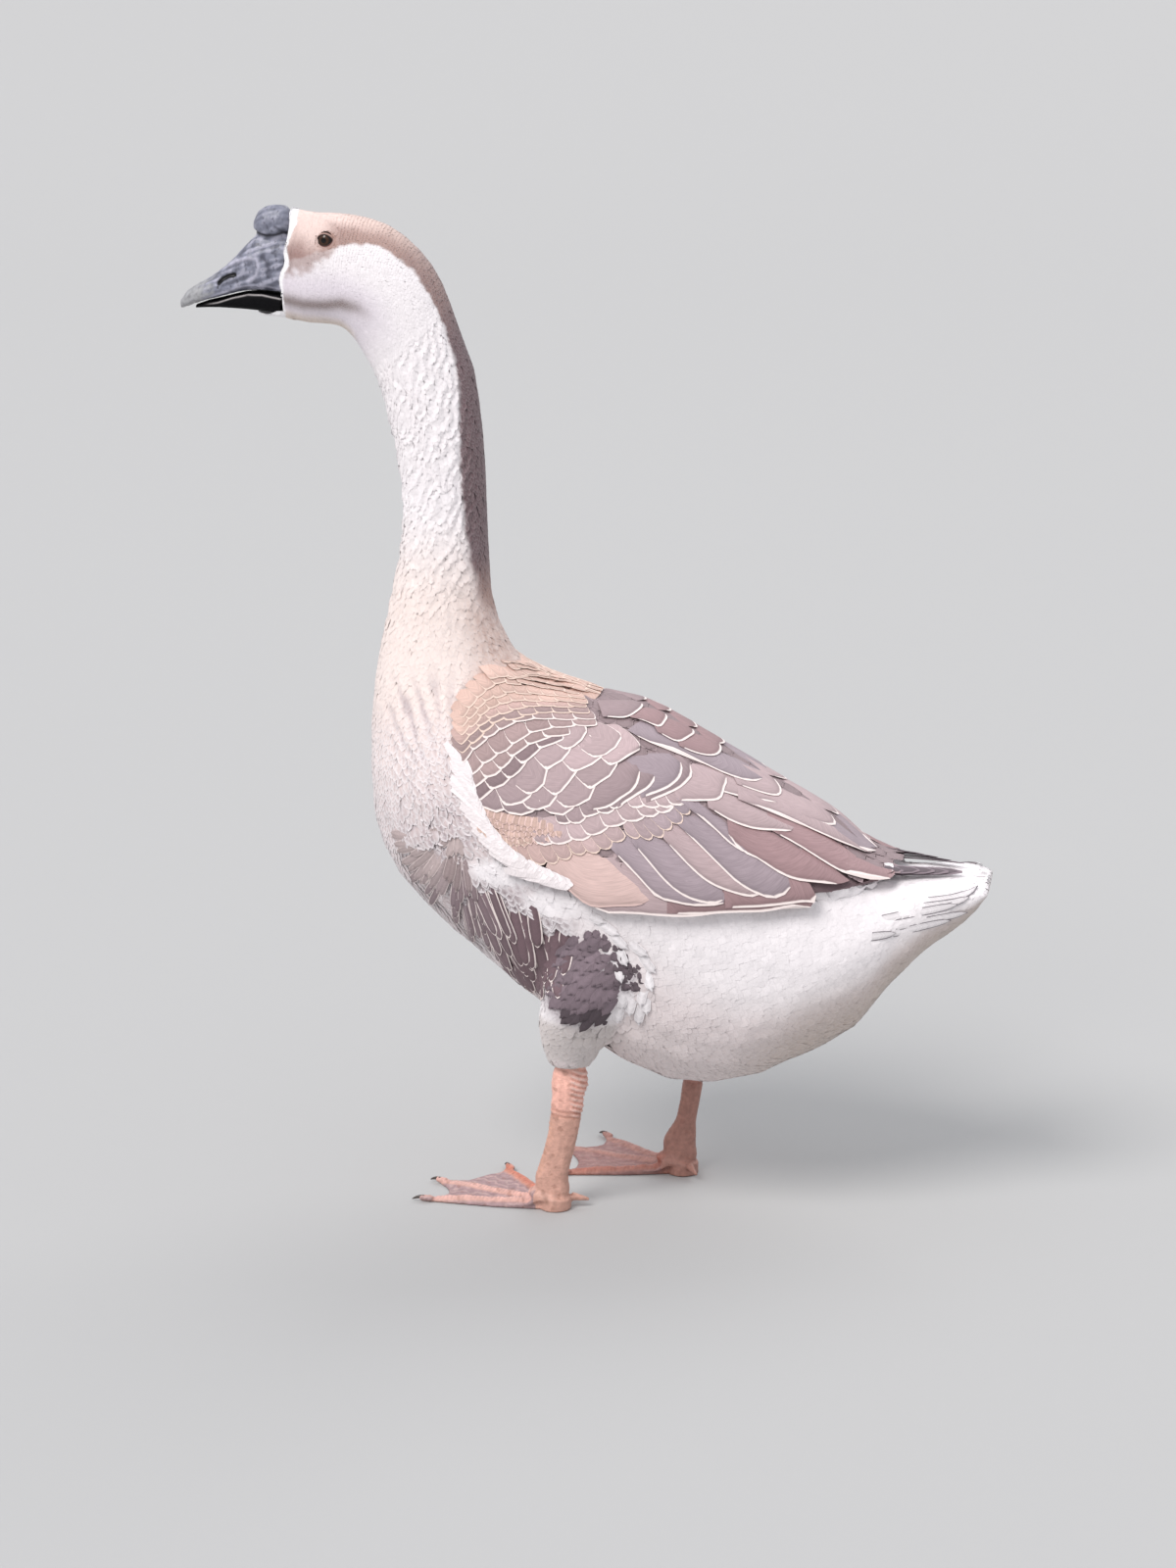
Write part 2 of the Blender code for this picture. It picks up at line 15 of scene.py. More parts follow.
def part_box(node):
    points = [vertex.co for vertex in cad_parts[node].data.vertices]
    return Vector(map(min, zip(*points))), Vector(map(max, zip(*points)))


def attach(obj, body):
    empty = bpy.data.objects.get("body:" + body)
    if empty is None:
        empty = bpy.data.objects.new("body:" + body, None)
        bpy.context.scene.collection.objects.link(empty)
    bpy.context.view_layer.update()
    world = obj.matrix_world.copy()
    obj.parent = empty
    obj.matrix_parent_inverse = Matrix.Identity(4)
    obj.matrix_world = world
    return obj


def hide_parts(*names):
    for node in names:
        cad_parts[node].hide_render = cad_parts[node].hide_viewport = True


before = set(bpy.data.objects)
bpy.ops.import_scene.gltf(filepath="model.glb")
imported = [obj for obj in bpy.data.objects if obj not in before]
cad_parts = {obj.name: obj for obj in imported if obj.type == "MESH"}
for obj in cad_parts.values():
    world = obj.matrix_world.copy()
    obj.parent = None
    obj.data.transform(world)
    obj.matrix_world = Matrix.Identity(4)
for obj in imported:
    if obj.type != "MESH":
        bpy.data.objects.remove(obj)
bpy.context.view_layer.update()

# ---------------------------------------------------------------------------------------------- the skin
# All the feathered parts are one unbroken skin, so no seam shows between head, neck, trunk, wings,
# thighs and tail. It lies inside the bird's outline by the depth of the feathers that cover it.

MM = 0.001
# The bird's two sides: the way out from its middle, and the letter that ends the names there.
SIDES = ((-1, "l"), (1, "r"))
COARSE = 1.0
SKIN_VOXEL = 0.0028 * COARSE
FLESH = ("head", "neck", "trunk", "tail", "thigh_l", "thigh_r", "wing_l", "wing_r")
HEAD_LOW, HEAD_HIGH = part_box("head")
MID_Y = (HEAD_LOW.y + HEAD_HIGH.y) / 2

# Stations along the bird: the lower and the upper point of its side outline, x and z in millimetres.
STATIONS = {
    "bill base": (-249, 732, -240, 821),
    "lores": (-229, 727.5, -225, 817.5),
    "eye": (-212, 727, -205, 817),
    "ear": (-200, 725, -184, 815),
    "hind head": (-192, 718, -160, 807.5),
    "occiput": (-186, 709.5, -138, 790.5),
    "nape": (-180.5, 700, -122, 770),
    "neck top": (-174.5, 689.5, -112, 747.5),
    "below nape": (-168.5, 675, -102.5, 720),
    "upper neck": (-164, 656, -93, 695),
    "upper third": (-158.5, 632, -87.5, 660),
    "mid neck": (-153, 600, -84, 618),
    "slimmest": (-151.5, 570, -82.5, 575),
    "lower third": (-155, 538, -81, 537),
    "lower neck": (-162.5, 503, -78, 501),
    "neck root": (-170.5, 468, -66, 469),
    "shoulder": (-176, 436, -47, 443),
    "crop": (-179, 398, -14, 432),
    "breast": (-178.5, 352, 20, 424),
    "keel front": (-173, 310, 54, 412),
    "keel": (-157, 275, 86, 395),
    "mid body": (-126, 242, 117, 376),
    "widest": (-86, 208, 143, 361),
    "hip": (-32, 164, 167, 348),
    "paunch front": (27, 122, 192, 333),
    "paunch": (80, 103, 213, 318),
    "paunch rear": (134, 108.5, 230, 304.5),
    "vent": (181, 129.5, 244, 295),
    "rump": (222, 153.5, 256, 290),
    "tail root": (251, 191.5, 266, 289),
    "tail coverts": (282, 225, 284, 288.5),
    "tail fan": (308, 246, 303, 287.5),
    "fan tip": (328.5, 272.5, 329, 283.5),
    "end": (331.5, 277.5, 332, 281.5),
}
STATION_NAMES = list(STATIONS)
LOW = np.array([row[0:2] for row in STATIONS.values()]) * MM
HIGH = np.array([row[2:4] for row in STATIONS.values()]) * MM
# Depth of the feathers over the skin at those stations, in millimetres.
COAT_DEPTH = {"bill base": 0.5, "ear": 0.7, "nape": 1.2, "upper neck": 1.6, "lower third": 1.9,
              "neck root": 2.4, "breast": 3.0, "mid body": 3.4, "vent": 3.2, "tail fan": 2.0, "end": 1.5}
WING_DEPTH = 4.6


def station(name):
    """A station's number along the bird, from the bill backwards."""
    return STATION_NAMES.index(name)


def along_stations(table, place):
    """A value named at some stations, read at any place between them."""
    return np.interp(place, [station(name) for name in table], list(table.values()))


def unit(vectors):
    """The same directions, each of them one long."""
    return vectors / np.maximum(np.linalg.norm(vectors, axis=-1, keepdims=True), 1e-9)


def table_at(table, at):
    """Every later column of a table, read at places given as its first column."""
    return [np.interp(at, table[:, 0], column) for column in table.T[1:]]


def off_middle(points):
    """How far each point lies from the plane down the bird's middle."""
    return np.abs(points[:, 1] - MID_Y)


def body_place(points):
    """Where points lie on the bird: how far along its stations, and how high up each one."""
    flat = np.asarray(points)[:, (0, 2)]
    chord = unit(HIGH - LOW)
    onward = np.stack([chord[:, 1], -chord[:, 0]], axis=1)
    ahead = flat @ onward.T - np.sum(LOW * onward, axis=1)
    place = np.zeros(len(flat))
    height = np.full(len(flat), 0.5)
    best = np.full(len(flat), 1e9)
    for step in range(len(LOW) - 1):
        inside = (ahead[:, step] >= 0) & (ahead[:, step + 1] <= 0)
        share = np.where(inside, ahead[:, step] / np.maximum(ahead[:, step] - ahead[:, step + 1], 1e-9), 0)
        foot = LOW[step] + (LOW[step + 1] - LOW[step]) * share[:, None]
        reach = HIGH[step] + (HIGH[step + 1] - HIGH[step]) * share[:, None] - foot
        up = np.sum((flat - foot) * reach, axis=1) / np.sum(reach * reach, axis=1)
        cost = np.where(inside, np.abs(up - 0.5), 1e8)
        nearer = cost < best
        best = np.where(nearer, cost, best)
        place = np.where(nearer, step + share, place)
        height = np.where(nearer, up, height)
    past_tail = (best > 1e7) & (flat[:, 0] > 0.25)
    place = np.where(past_tail, len(LOW) - 1.0, place)
    return place, np.clip(height, -0.3, 1.3)


def ripple(points, size, seed, waves=7, highest=3.2):
    """A soft uneven value from -1 to 1 that changes over about the given size in metres."""
    draw = np.random.default_rng(seed)
    total = np.zeros(len(points))
    for _ in range(waves):
        direction = draw.normal(size=3)
        direction *= draw.uniform(0.6, 1.5) / np.linalg.norm(direction)
        total += np.sin(points @ direction * (2 * math.pi / size) + draw.uniform(0, 6.3))
    return np.clip(total / highest, -1, 1)


def smooth_step(low, high, value):
    """A share that eases from 0 at low to 1 at high."""
    share = np.clip((value - low) / (high - low), 0, 1)
    return share * share * (3 - 2 * share)


def tone(red, green, blue):
    """A colour as the eye sees it, 0 to 255, turned into the light it sends back."""
    shade = np.array([red, green, blue]) / 255
    return np.where(shade <= 0.04045, shade / 12.92, ((shade + 0.055) / 1.055) ** 2.4)


def laid_over(under, over, share):
    """One colour laid over another, point by point."""
    return under + (over - under) * np.clip(share, 0, 1)[..., None]


def linked(name, data):
    """A piece made from a mesh, a lamp or a camera, put in the scene."""
    piece = bpy.data.objects.new(name, data)
    bpy.context.scene.collection.objects.link(piece)
    return piece


def mesh_from(form, name):
    """Turns a form into a smooth mesh."""
    mesh = bpy.data.meshes.new(name)
    form.to_mesh(mesh)
    form.free()
    mesh.shade_smooth()
    return mesh

def mesh_points(mesh):
    points = np.zeros(len(mesh.vertices) * 3)
    mesh.vertices.foreach_get("co", points)
    return points.reshape(-1, 3)


def set_points(mesh, points):
    mesh.vertices.foreach_set("co", points.astype(np.float32).ravel())
    mesh.update()


def vertex_normals(mesh):
    """Each vertex's own outward direction."""
    normals = np.zeros(len(mesh.vertices) * 3)
    mesh.vertex_normals.foreach_get("vector", normals)
    return normals.reshape(-1, 3)


# Each round of rubbing pulls every point in towards its neighbours, then pushes it nearly as far back out.
RUB_IN, RUB_OUT = 0.55, -0.50


def rubbed_smooth(mesh, rounds):
    """Rubs the facets off a mesh without letting it shrink."""
    edges = np.zeros(len(mesh.edges) * 2, dtype=np.int32)
    mesh.edges.foreach_get("vertices", edges)
    near, far = edges.reshape(-1, 2).T
    points = mesh_points(mesh)
    count = np.bincount(edges, minlength=len(points))[:, None]
    for pull in (RUB_IN, RUB_OUT) * rounds:
        total = np.zeros_like(points)
        for axis in range(3):
            total[:, axis] = (np.bincount(near, points[far, axis], len(points))
                              + np.bincount(far, points[near, axis], len(points)))
        points += (total / np.maximum(count, 1) - points) * pull
    set_points(mesh, points)


def largest_shell(mesh):
    """Keeps only the outer shell, without the small hollows left inside where solids met."""
    shell = bmesh.new()
    shell.from_mesh(mesh)
    waiting = set(shell.verts)
    groups = []
    while waiting:
        front = [waiting.pop()]
        group = list(front)
        while front:
            vertex = front.pop()
            for edge in vertex.link_edges:
                other = edge.other_vert(vertex)
                if other in waiting:
                    waiting.remove(other)
                    front.append(other)
                    group.append(other)
        groups.append(group)
    groups.sort(key=len)
    for group in groups[:-1]:
        bmesh.ops.delete(shell, geom=group, context="VERTS")
    shell.to_mesh(mesh)
    shell.free()


def fused(name, nodes, voxel, rounds, swell=0.0004, fillings=()):
    """One closed, smooth mesh from several solids that lie against each other, with rounded fillings."""
    shell = bmesh.new()
    for node in nodes:
        shell.from_mesh(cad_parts[node].data)
    bmesh.ops.remove_doubles(shell, verts=shell.verts, dist=0.00001)
    shell.normal_update()
    for vertex in shell.verts:
        vertex.co += vertex.normal * swell
    for centre, radii in fillings:
        made = bmesh.ops.create_icosphere(shell, subdivisions=3, radius=1.0)
        for vertex in made["verts"]:
            vertex.co = Vector([centre[k] + vertex.co[k] * radii[k] for k in range(3)])
    mesh = mesh_from(shell, name)
    piece = linked(name, mesh)
    remesh = piece.modifiers.new("fuse", "REMESH")
    remesh.mode = "VOXEL"
    remesh.voxel_size = voxel
    depsgraph = bpy.context.evaluated_depsgraph_get()
    solid = bpy.data.meshes.new_from_object(piece.evaluated_get(depsgraph))
    piece.modifiers.clear()
    piece.data = solid
    bpy.data.meshes.remove(mesh)
    largest_shell(solid)
    rubbed_smooth(solid, rounds)
    set_points(solid, mesh_points(solid) - vertex_normals(solid) * swell)
    solid.shade_smooth()
    return piece


# The folded wing's outer face is an oval round the body: x, and the oval's centre height, half height
# and half width, all in millimetres.
WING_OVALS = np.array([
    (-110, 310, 172, 100), (-88, 305, 172, 104), (-50, 290, 161, 113), (0, 276, 157, 118.5),
    (50, 269, 151, 119), (100, 266, 127, 113.5), (150, 266, 98, 101), (200, 272, 62, 82),
    (235, 281, 25, 61), (262, 288, 11, 44), (290, 290, 8, 36)]) * MM
WING_FRONT, WING_REAR = -0.088, 0.262
# How far round that oval the wing's upper and lower margins lie: x in millimetres, degrees from the back.
WING_TOP_TURN = np.array([(-88, 50), (-50, 33), (0, 15), (50, 2), (262, 4)]) * (MM, 1)
WING_LOW_TURN = np.array([
    (-88, 77), (-50, 83.5), (0, 85), (100, 85), (150, 81), (200, 78), (262, 70)]) * (MM, 1)
# Points deeper than this share of the oval lie inside the body, away from the wing.
WING_SHELL = 0.86


def wing_turn(points):
    """How far round the body a point lies on the wing's oval, in degrees from the back, and its reach."""
    centre, tall, wide = table_at(WING_OVALS, points[:, 0])
    across = off_middle(points) / wide
    above = (points[:, 2] - centre) / tall
    return np.degrees(np.arctan2(across, above)), np.hypot(across, above)


def under_wing(points, margin=0.0):
    """True where the folded wing covers the body, at least a margin in from the wing's outline."""
    turn, reach = wing_turn(points)
    ahead = points[:, 0]
    top = table_at(WING_TOP_TURN, ahead)[0]
    low = table_at(WING_LOW_TURN, ahead)[0]
    spread = np.interp(ahead, (WING_FRONT, -0.05), (8, 0))
    inside = (ahead > WING_FRONT + margin) & (ahead < WING_REAR - margin) & (reach > WING_SHELL)
    return inside & (turn > top - 2 + margin * 500) & (turn < low - spread - margin * 700)


# The left thigh's axis at heights above the floor: height, x, y, radius fore and aft, radius sideways, mm.
# The right leg stands a step further back, its thigh swinging back from the hip.
THIGH_AXIS = np.array([
    (128, -6.5, -53, 16.5, 15), (136, -6, -55.5, 20, 17.5), (150, -3, -60.5, 26, 21.5),
    (172, 3.5, -69, 33.5, 26), (195, 14, -76, 41, 29), (218, 22, -80, 46, 27), (240, 26, -82, 44, 22)]) * MM
THIGH_FOOT, THIGH_TOP = 0.128, 0.240
THIGH_ROUNDS_IN = 0.205
THIGH_INNER_FACE = 0.030
STEP_BACK, HIP_SWING = 0.094, 0.042


def thigh_ring(height, side):
    """Centre and radii of one thigh at a height: x, y, fore and aft, sideways."""
    x, y, fore, wide = table_at(THIGH_AXIS, height)
    if side > 0:
        swing = np.clip((height - THIGH_FOOT) / (THIGH_TOP - THIGH_FOOT), 0, 1)
        return x + STEP_BACK - HIP_SWING * swing, MID_Y - y, fore, wide
    return x, MID_Y + y, fore, wide


def thigh_reach(points):
    """How far out from a thigh's axis each point lies, in shares of the thigh's radius."""
    best = np.full(len(points), 9.0)
    for side, _letter in SIDES:
        x, y, fore, wide = thigh_ring(points[:, 2], side)
        reach = np.hypot((points[:, 0] - x) / fore, (points[:, 1] - y) / wide)
        outer = (points[:, 1] - MID_Y) * side > THIGH_INNER_FACE
        best = np.where(outer & (points[:, 2] < THIGH_TOP), np.minimum(best, reach), best)
    return best


def near_thigh(points, grow=1.0):
    """True on the feathered thighs, which have rows of their own."""
    above = np.interp(points[:, 2], (THIGH_ROUNDS_IN, THIGH_TOP), (1.0, 0.55))
    return thigh_reach(points) < grow * above


# Each eye's socket is filled by the low swelling that carries the lids.
EYE_CENTRE = {side: sum(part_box("eye_" + letter), Vector()) / 2 for side, letter in SIDES}
ORBIT = (0.0110, 0.0034, 0.0094)
skin = fused("skin", FLESH, SKIN_VOXEL, 8, fillings=[(EYE_CENTRE[side], ORBIT) for side, _letter in SIDES])
outline_points = mesh_points(skin.data)
place, _height = body_place(outline_points)
depth = along_stations(COAT_DEPTH, place)
depth = np.where(under_wing(outline_points), WING_DEPTH, depth)
on_thigh = near_thigh(outline_points, 1.1)
depth = np.where(on_thigh, np.interp(outline_points[:, 2], (0.130, 0.150, 0.190), (1.0, 1.4, 2.6)), depth)
set_points(skin.data, outline_points - vertex_normals(skin.data) * (depth * MM)[:, None])
rubbed_smooth(skin.data, 2)


# ------------------------------------------------------------------------------------- the plumage's marks
# A brown cap and hind-neck stripe over a white face and neck, a cream and pinkish breast, mauve-brown
# flanks with white edges, a dark patch on the thigh, and white belly, vent and tail.

WHITE = tone(246, 240, 242)
BAND_WHITE = tone(252, 250, 252)
SHADED_UNDER_WHITE = tone(238, 226, 228)
LORE_TAN = tone(156, 121, 114)
FOREHEAD = tone(238, 212, 204)
CAP_TAN = tone(174, 142, 133)
CAP_EDGE = tone(226, 200, 190)
NAPE_BROWN = tone(132, 106, 104)
STRIPE_BROWN = tone(106, 82, 86)
CHEEK_LILAC = tone(226, 216, 226)
JAW_BROWN_AND_SHADE = tone(118, 99, 95)
THROAT_BEIGE = tone(226, 208, 188)
NECK_CREAM = tone(240, 222, 214)
NECK_SPECKLE = tone(180, 144, 130)
MANTLE_BUFF = tone(226, 192, 178)
BREAST_PINK = tone(226, 206, 202)
BREAST_GREY_AND_SHADE = tone(158, 140, 146)
FLANK_MAUVE = tone(120, 98, 104)
THIGH_DARK = tone(134, 118, 126)
THIGH_PALE = tone(198, 188, 184)
VENT_BEIGE_AND_SHADE = tone(184, 166, 152)
# Painted shade: the dark skin colour under the folded wing, and the share that darkens the skin seen in the
# gaps between the vanes.
UNDER_WING_SHADE = tone(120, 100, 104)
DOWN_PAINTED_SHADE = 0.82

# The lower edge of the brown cap, and then the front edge of the stripe down the hind neck, as a share
# of the height at each station.
CAP_EDGE_LINE = {"bill base": 0.50, "lores": 0.60, "eye": 0.69, "ear": 0.765, "hind head": 0.845,
                 "occiput": 0.875, "nape": 0.875, "neck top": 0.90, "below nape": 0.895, "upper neck": 0.865,
                 "upper third": 0.82, "mid neck": 0.765, "slimmest": 0.785, "lower third": 0.83,
                 "lower neck": 0.93, "neck root": 1.10}
# The wavy line where the face's feathers end on the bill: heights, the line's x there, and the x of the
# rear edge of the white band that runs along it, all in millimetres.
FACE_EDGE = np.array([
    (734, -246.4, -244.6), (750, -246.4, -244.7), (757, -247.6, -244.9), (764, -248.4, -245.0),
    (770, -247.0, -243.2), (775, -244.7, -240.2), (780, -243.7, -238.8), (785, -244.7, -240.4),
    (790.5, -244.1, -241.0), (796.5, -242.0, -239.4), (804.5, -240.6, -235.9), (810.5, -240.2, -233.0),
    (816, -241.7, -233.5), (822, -243.0, -234.0)]) * MM
# The front and rear edges of the hanging flank feathers: height and x in millimetres.
FLANK_FRONT = np.array([(188, -44), (218, -66), (242, -92), (291, -108), (306, -96)]) * MM
FLANK_REAR = np.array([(188, -36), (203, -28), (225, 0), (262, 2), (281, -46), (306, -70)]) * MM
# The right side's dark patches lie this far behind the left one's, in millimetres.
PATCH_STEP = 62

def near_spot(points, x, z, wide, tall):
    """How strongly a point lies inside a soft oval spot seen from the side."""
    reach = np.hypot((points[:, 0] - x * MM) / (wide * MM), (points[:, 2] - z * MM) / (tall * MM))
    return 1 - smooth_step(0.7, 1.15, reach)


def on_flank(points):
    """How surely points lie where the long flank feathers hang, in front of the thigh."""
    ahead, height = points[:, 0], points[:, 2]
    front = table_at(FLANK_FRONT, height)[0]
    rear = table_at(FLANK_REAR, height)[0]
    inside = smooth_step(-0.006, 0.004, ahead - front)
    inside = inside * smooth_step(0.006, -0.004, ahead - rear)
    inside = inside * smooth_step(0.188, 0.200, height) * smooth_step(0.306, 0.290, height)
    return inside * smooth_step(0.050, 0.066, off_middle(points))


# The bend of the folded wing, x and z in millimetres, where the breast's feathers fan out from.
BEND = (-92, 338)


def from_bend(points):
    """How far ahead of the wing's bend and above it points lie, in millimetres, and how far off."""
    ahead, above = points[:, 0] / MM - BEND[0], points[:, 2] / MM - BEND[1]
    return ahead, above, np.hypot(ahead, above)


def in_fan(points):
    """How surely points lie where the long breast feathers fan out below and ahead of the wing's bend."""
    ahead, above, reach = from_bend(points)
    turn = np.degrees(np.arctan2(-above, -ahead))
    inside = smooth_step(14, 30, turn) * smooth_step(108, 98, turn) * smooth_step(125, 105, reach)
    return inside * smooth_step(0.048, 0.062, off_middle(points)) * (points[:, 2] > 0.2)


def breast_fan(points):
    """Ridges and valleys, 1 to -1, that fan out over each side of the breast from the bend of the wing."""
    at, up = body_place(points)
    ahead, above, reach = from_bend(points)
    turn = np.arctan2(above, -ahead) + ripple(points, 0.05, 15) * 0.035 + ripple(points, 0.018, 16) * 0.02
    strength = smooth_step(15.0, 16.6, at) * smooth_step(23.2, 21.4, at) * smooth_step(0.10, 0.22, up)
    strength = strength * smooth_step(0.022, 0.050, off_middle(points)) * smooth_step(150, 105, reach)
    return np.sin(turn * 46) * strength * (1 - 0.35 * ripple(points, 0.03, 17))


def plumage_at(points):
    """The plumage's colour at each point, some painted shade included, and how strongly its feathers' edges
    show white there.
    """
    # at counts the stations from the bill's base backwards, up is 0 at the lower outline and 1 at the upper
    at, up = body_place(points)
    wave = ripple(points, 0.018, 3)
    fine = ripple(points, 0.006, 4)
    count = len(points)
    colour = np.tile(WHITE, (count, 1))
    strength = np.full(count, 0.25)

    # face: a lilac tone low on the cheek, a brown band along the jaw that is partly the face's own colour and
    # partly painted shade under the cheek, and a beige throat
    jaw_line = np.interp(at, (0, 2, 4.5, 6), (0.185, 0.20, 0.31, 0.36))
    jaw = np.exp(-((up - jaw_line) / 0.062) ** 2) * smooth_step(5.4, 3.0, at)
    for shade, share in ((CHEEK_LILAC, smooth_step(0.62, 0.34, up) * smooth_step(7.5, 4.0, at) * 0.8),
                         (JAW_BROWN_AND_SHADE, jaw * 0.9),
                         (THROAT_BEIGE, smooth_step(0.13, 0.02, up) * smooth_step(5.0, 3.5, at) * 0.8)):
        colour = laid_over(colour, shade, share)

    # cap and stripe
    line = along_stations(CAP_EDGE_LINE, at) + 0.012 * wave + 0.010 * fine
    soft = np.interp(at, (0, 2, 7, 12, 15), (0.05, 0.018, 0.014, 0.02, 0.10))
    brown = smooth_step(-soft, soft, up - line)
    pale_front = smooth_step(2.6, 1.5, at) * smooth_step(0.60, 0.86, up + 0.03 * wave)
    pale_top = smooth_step(0.86, 0.97, up) * smooth_step(4.6, 2.4, at)
    cap_rim = smooth_step(0.90, 1.0, up) * smooth_step(7.5, 4.0, at) * smooth_step(2.0, 3.0, at) * 0.8
    cap = np.tile(LORE_TAN, (count, 1))
    for shade, share in ((CAP_TAN, smooth_step(1.2, 3.2, at)),
                         (FOREHEAD, np.maximum(pale_front, pale_top)),
                         (CAP_EDGE, cap_rim),
                         (NAPE_BROWN, smooth_step(3.6, 6.4, at) * (0.8 + 0.2 * fine)),
                         (STRIPE_BROWN, smooth_step(6.2, 8.5, at)),
                         (NECK_SPECKLE, smooth_step(12.6, 14.6, at) * 0.7)):
        cap = laid_over(cap, shade, share)
    lore_low = np.interp(at, (0, 1.2, 2.0, 2.6), (0.42, 0.52, 0.62, 0.8))
    lore = smooth_step(lore_low - 0.06, lore_low + 0.05, up + 0.03 * fine) * smooth_step(2.7, 2.0, at)
    colour = laid_over(colour, cap, np.maximum(brown, lore * 0.75))
    strength = np.where(brown > 0.5, 0.16, strength)

    # the pure white band round the bill's base
    band_rear = table_at(FACE_EDGE, points[:, 2])[1] + 0.0005 * fine
    white = smooth_step(0.0005, -0.0005, points[:, 0] - band_rear)
    colour = laid_over(colour, BAND_WHITE, white)
    strength = strength * (1 - white)

    # neck: cream lower down, freckled brown behind, buff where it meets the mantle
    cream = smooth_step(11.5, 14.2, at) * smooth_step(19.0, 16.5, at)
    freckled = smooth_step(0.62, 0.98, up) * smooth_step(12.8, 14.6, at) * smooth_step(18.0, 16.0, at)
    buff = smooth_step(0.58, 0.86, up) * smooth_step(15.0, 16.2, at) * smooth_step(19.2, 17.4, at)
    for shade, share in ((NECK_CREAM, cream * (1 - brown) * 0.9),
                         (NECK_SPECKLE, freckled * (0.62 + 0.3 * fine)),
                         (MANTLE_BUFF, buff * 0.8)):
        colour = laid_over(colour, shade, share)

    # breast: pinkish, with greyer feather middles lower down, and grey in the valleys between the ridges that
    # fan out from the wing's bend, partly the breast's grey streaks and partly painted shade
    chest = smooth_step(15.8, 17.6, at) * smooth_step(22.5, 20.5, at)
    greyed = smooth_step(17.0, 19.4, at) * smooth_step(22.6, 21.2, at) * smooth_step(0.75, 0.35, up)
    valley_shade = np.clip(-breast_fan(points), 0, 1) * np.interp(up, (0.2, 0.5, 0.8), (0.75, 0.55, 0.3))
    for shade, share in ((BREAST_PINK, chest * smooth_step(0.85, 0.6, up) * 0.85),
                         (BREAST_GREY_AND_SHADE, greyed * (0.55 + 0.2 * wave)),
                         (BREAST_GREY_AND_SHADE, valley_shade)):
        colour = laid_over(colour, shade, share)
    strength = np.where(at > 15.5, 0.25 + 0.6 * np.maximum(chest, 0) * smooth_step(16.0, 17.5, at), strength)

    # flank in front of and above the thigh
    flank = on_flank(points)
    colour = laid_over(colour, FLANK_MAUVE, flank * (0.80 + 0.15 * wave))
    strength = np.maximum(strength, flank * 0.95)

    # a dark patch on the thigh and a smaller one behind it, grey white below, white between
    for side, step in ((-1, 0), (1, PATCH_STEP)):
        outward = (points[:, 1] - MID_Y) * side
        outer = smooth_step(0.055, 0.068, outward)
        dark = near_spot(points, 4 + step, 210, 37, 40) * outer
        behind = near_spot(points, 48 + step, 215, 13, 13) * outer
        lower = smooth_step(0.178, 0.168, points[:, 2]) * (thigh_reach(points) < 1.35) * (outward > 0)
        colour = laid_over(colour, THIGH_PALE, lower * 0.9)
        colour = laid_over(colour, THIGH_DARK, np.maximum(dark, behind * 0.8) * (0.9 + 0.1 * wave))
        strength = np.where(np.maximum(dark, behind) > 0.3, 0.45, strength)
    flank = np.maximum(flank, near_spot(points, -30, 215, 40, 30) * (thigh_reach(points) < 1.2))
    below_wing = (near_spot(points, -52, 302, 34, 13) + near_spot(points, -4, 280, 38, 15)
                  + near_spot(points, 40, 262, 30, 14))
    below_wing = np.clip(below_wing, 0, 1) * smooth_step(0.075, 0.090, off_middle(points))
    colour = laid_over(colour, WHITE, below_wing)

    # belly, vent and tail: white above; lower down a greyer white that is painted shade, and beige towards
    # the vent that is partly its own colour and partly painted shade on the underside
    rear = smooth_step(21.6, 22.8, at) * (1 - flank) * (thigh_reach(points) > 1.15)
    beige_and_shade_share = 0.35 + 0.65 * smooth_step(station("paunch"), station("vent"), at)
    for shade, share in ((SHADED_UNDER_WHITE, rear * smooth_step(0.50, 0.30, up)),
                         (VENT_BEIGE_AND_SHADE, rear * smooth_step(0.70, 0.10, up) * 0.85 * beige_and_shade_share),
                         (WHITE, rear * smooth_step(0.34, 0.72, up) * 0.9)):
        colour = laid_over(colour, shade, share)
    strength = np.where(rear > 0.5, 0.22, strength)
    return colour, strength


def paint_points(mesh, name, colours):
    """Stores one colour a vertex."""
    paint = mesh.color_attributes.new(name, "FLOAT_COLOR", "POINT")
    full = np.ones((len(colours), 4), dtype=np.float32)
    full[:, :3] = colours
    paint.data.foreach_set("color", full.ravel())


def new_material(name):
    """A new material, and a function that adds a node to it and returns what the node gives out. Names in
    small letters are the node's settings, the others its inputs: numbers, or what other nodes give out."""
    material = bpy.data.materials.new(name)
    material.use_nodes = True
    nodes, links = material.node_tree.nodes, material.node_tree.links

    def add(kind, *first_inputs, **named):
        node = nodes["Principled BSDF"] if kind == "Surface" else nodes.new("ShaderNode" + kind)
        for label, value in named.items():
            if label.islower():
                setattr(node, label, value)
        inputs = list(enumerate(first_inputs))
        inputs += [(label.replace("_", " "), value) for label, value in named.items() if not label.islower()]
        for label, value in inputs:
            if isinstance(value, bpy.types.NodeSocket):
                links.new(value, node.inputs[label])
            else:
                node.inputs[label].default_value = value
        return node.outputs

    return material, add


def shaded_paint(add, paint, scale):
    """A stored paint made lighter or darker."""
    colour = add("Attribute", attribute_name=paint)["Color"]
    return add("VectorMath", colour, operation="SCALE", Scale=scale)["Vector"]


